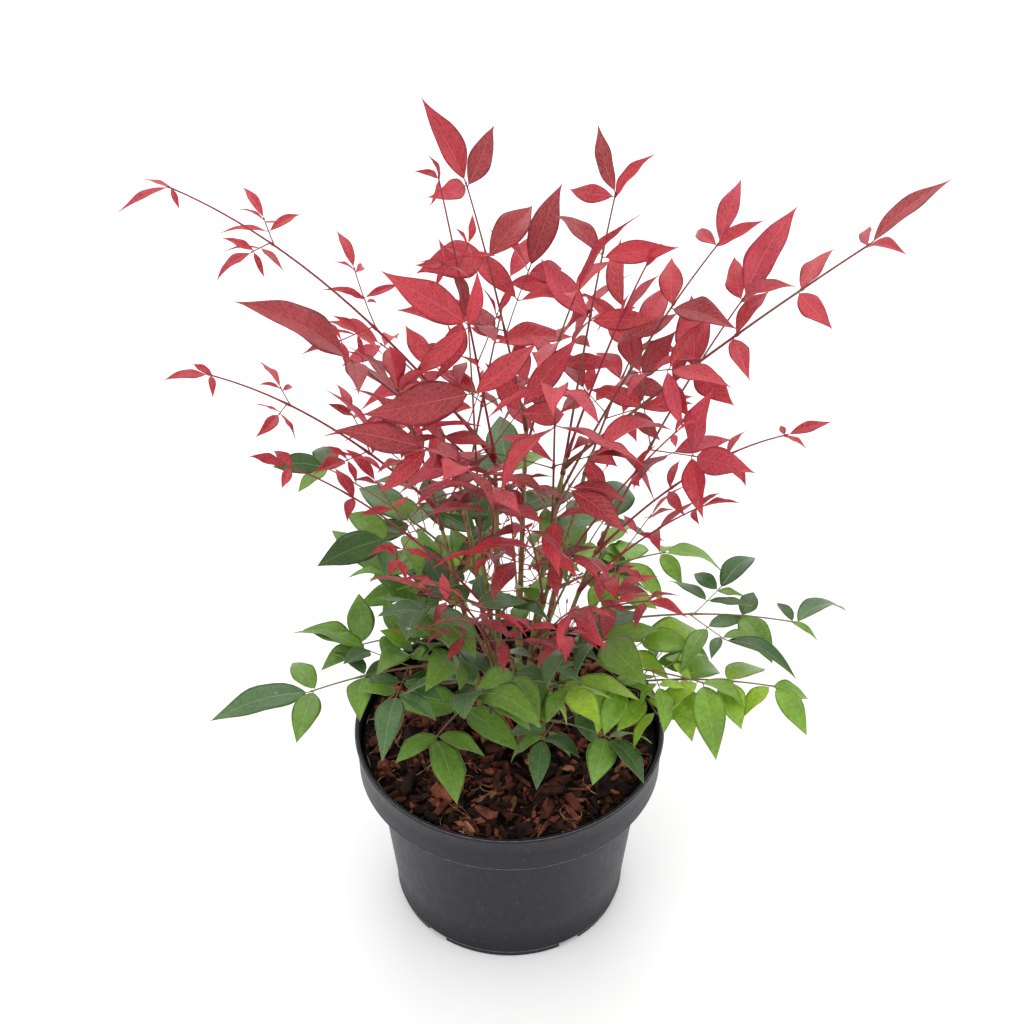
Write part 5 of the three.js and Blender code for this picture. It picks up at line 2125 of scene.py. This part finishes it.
    def fibres(self, draw: np.random.Generator) -> MeshDraft:
        """Fine pale roots that wander over the chips.

        Args:
            draw: The source of chance.

        Returns:
            The draft of all of them.
        """
        draft = MeshDraft()
        steps, edge = self.root_steps, self.radius - self.root_margin
        for _ in range(self.roots):
            reach = draw.uniform(*self.root_reach)
            distance = self.radius * math.sqrt(draw.uniform(0.15, 0.8))
            bearing = draw.uniform(0, 2 * math.pi)
            heading, curl = draw.uniform(0, 2 * math.pi), draw.normal(0, 0.12)
            x, y = distance * math.cos(bearing), distance * math.sin(bearing)
            path = []
            for k in range(steps):
                curl += draw.normal(0, 0.07)
                heading += curl
                x, y = x + reach / steps * math.cos(heading), y + reach / steps * math.sin(heading)
                out = math.hypot(x, y)
                if out > edge:
                    x, y = x * edge / out, y * edge / out
                lift = self.root_lift + self.root_arch * math.sin(math.pi * k / (steps - 1))
                path.append((x, y, self.level(x, y) + (lift + draw.uniform(-0.12, 0.12))))
            radii = draw.uniform(*self.root_radii) * np.linspace(1.1, 0.4, steps)
            add_tube(draft, np.array(path), radii, 5)
        return draft


# -------------------------------- studio
@dataclass(frozen=True)
class AreaLight:
    """A soft box: where it stands, where it looks, its size and power."""

    name: str
    position: Triple
    target: Triple
    size: float
    power: float

    def build(self) -> None:
        """Adds the light to the scene."""
        data = bpy.data.lights.new(self.name, "AREA")
        data.size = self.size
        data.energy = self.power
        light = bpy.data.objects.new(self.name, data)
        bpy.context.scene.collection.objects.link(light)
        aim(light, vec(*self.position), vec(*self.target))


def aim(thing: Piece, position: Array, target: Array) -> None:
    """Stands a camera or light at a place in metres and points it at another.

    Args:
        thing: The camera or light.
        position: Where it stands.
        target: What it looks at.
    """
    back = unit(position - target)
    right = unit(np.cross(UP, back))
    upward = np.cross(back, right)
    axes = np.stack([right, upward, back, position], axis=1)
    thing.matrix_world = Matrix([*axes.tolist(), [0.0, 0.0, 0.0, 1.0]])


@dataclass
class Studio:
    """Floor, daylight and the camera that looks down on the plant."""

    lens: float = 80
    sensor: float = 36
    pitch: float = 40.7
    distance: float = 1.285
    target: Triple = (0.0016, 0.0, 0.307)
    floor_size: float = 9
    sky: float = 1.08
    lights: tuple[AreaLight, ...] = (
        AreaLight("key_light", (-1.1, -1.2, 2.2), (0, 0, 0.25), 1.6, 8),
        AreaLight("fill_light", (1.5, -1.0, 1.6), (0, 0, 0.25), 1.6, 4),
        AreaLight("back_light", (0.1, 1.7, 2.0), (0, 0, 0.3), 1.6, 15),
    )

    def camera(self) -> None:
        """Adds the camera and makes it the scene's."""
        data = bpy.data.cameras.new("camera")
        data.lens = self.lens
        data.sensor_width = self.sensor
        data.clip_end = 50
        camera = bpy.data.objects.new("camera", data)
        bpy.context.scene.collection.objects.link(camera)
        tilt = math.radians(self.pitch)
        target = vec(*self.target)
        aim(camera, target + self.distance * vec(0, -math.cos(tilt), math.sin(tilt)), target)
        bpy.context.scene.camera = camera

    def build(self) -> None:
        """Adds the floor, the sky and the lights."""
        half = self.floor_size / 2 / MM
        draft = MeshDraft()
        square = vec(-1, -1, 0, 1, -1, 0, 1, 1, 0, -1, 1, 0)
        draft.add(half * square, np.array([[0, 1, 2, 3]]))
        floor = draft.build("studio_floor", FloorFinish().material(), smooth=False)
        floor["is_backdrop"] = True
        world = bpy.data.worlds.new("studio_sky")
        world.use_nodes = True
        background = world.node_tree.nodes["Background"]
        background.inputs["Color"].default_value = (1, 1, 1, 1)
        background.inputs["Strength"].default_value = self.sky
        bpy.context.scene.world = world
        for light in self.lights:
            light.build()
        view = bpy.context.scene.view_settings
        view.view_transform = "Standard"
        view.look = "None"


def dress_root_ball(node: Piece) -> None:
    """Gives the root ball under the mulch its dark peat finish.

    Args:
        node: The root ball, as it was loaded.
    """
    peat = ChipFinish("peat_skin", linear(26, 17, 12), linear(58, 40, 28)).material()
    node.data.materials.clear()
    node.data.materials.append(peat)


def corners(box: tuple[Iterable[float], Iterable[float]]) -> list[list[float]]:
    """A box as plain lists of numbers."""
    return [[float(value) for value in corner] for corner in box]


def main() -> None:
    """Builds every piece around the frame."""
    logging.basicConfig(level=logging.INFO, format="%(message)s")
    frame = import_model()
    cad_box = corners(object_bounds())
    studio = Studio()
    studio.camera()
    studio.build()
    dress_root_ball(frame["nodes"]["root_ball"])
    NurseryPot().build()
    BarkMulch().build()
    grower = Grower()
    fronds = grower.grow()
    LOG.info("leaflets: %d", sum(len(frond.leaflets) for frond in fronds))
    LOG.info("finer leaflets: %d", grower.refine(fronds))
    CaneStand().build()
    Foliage().build(fronds)
    {"cad": cad_box, "visual": corners(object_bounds())}


if __name__ == "__main__":
    main()
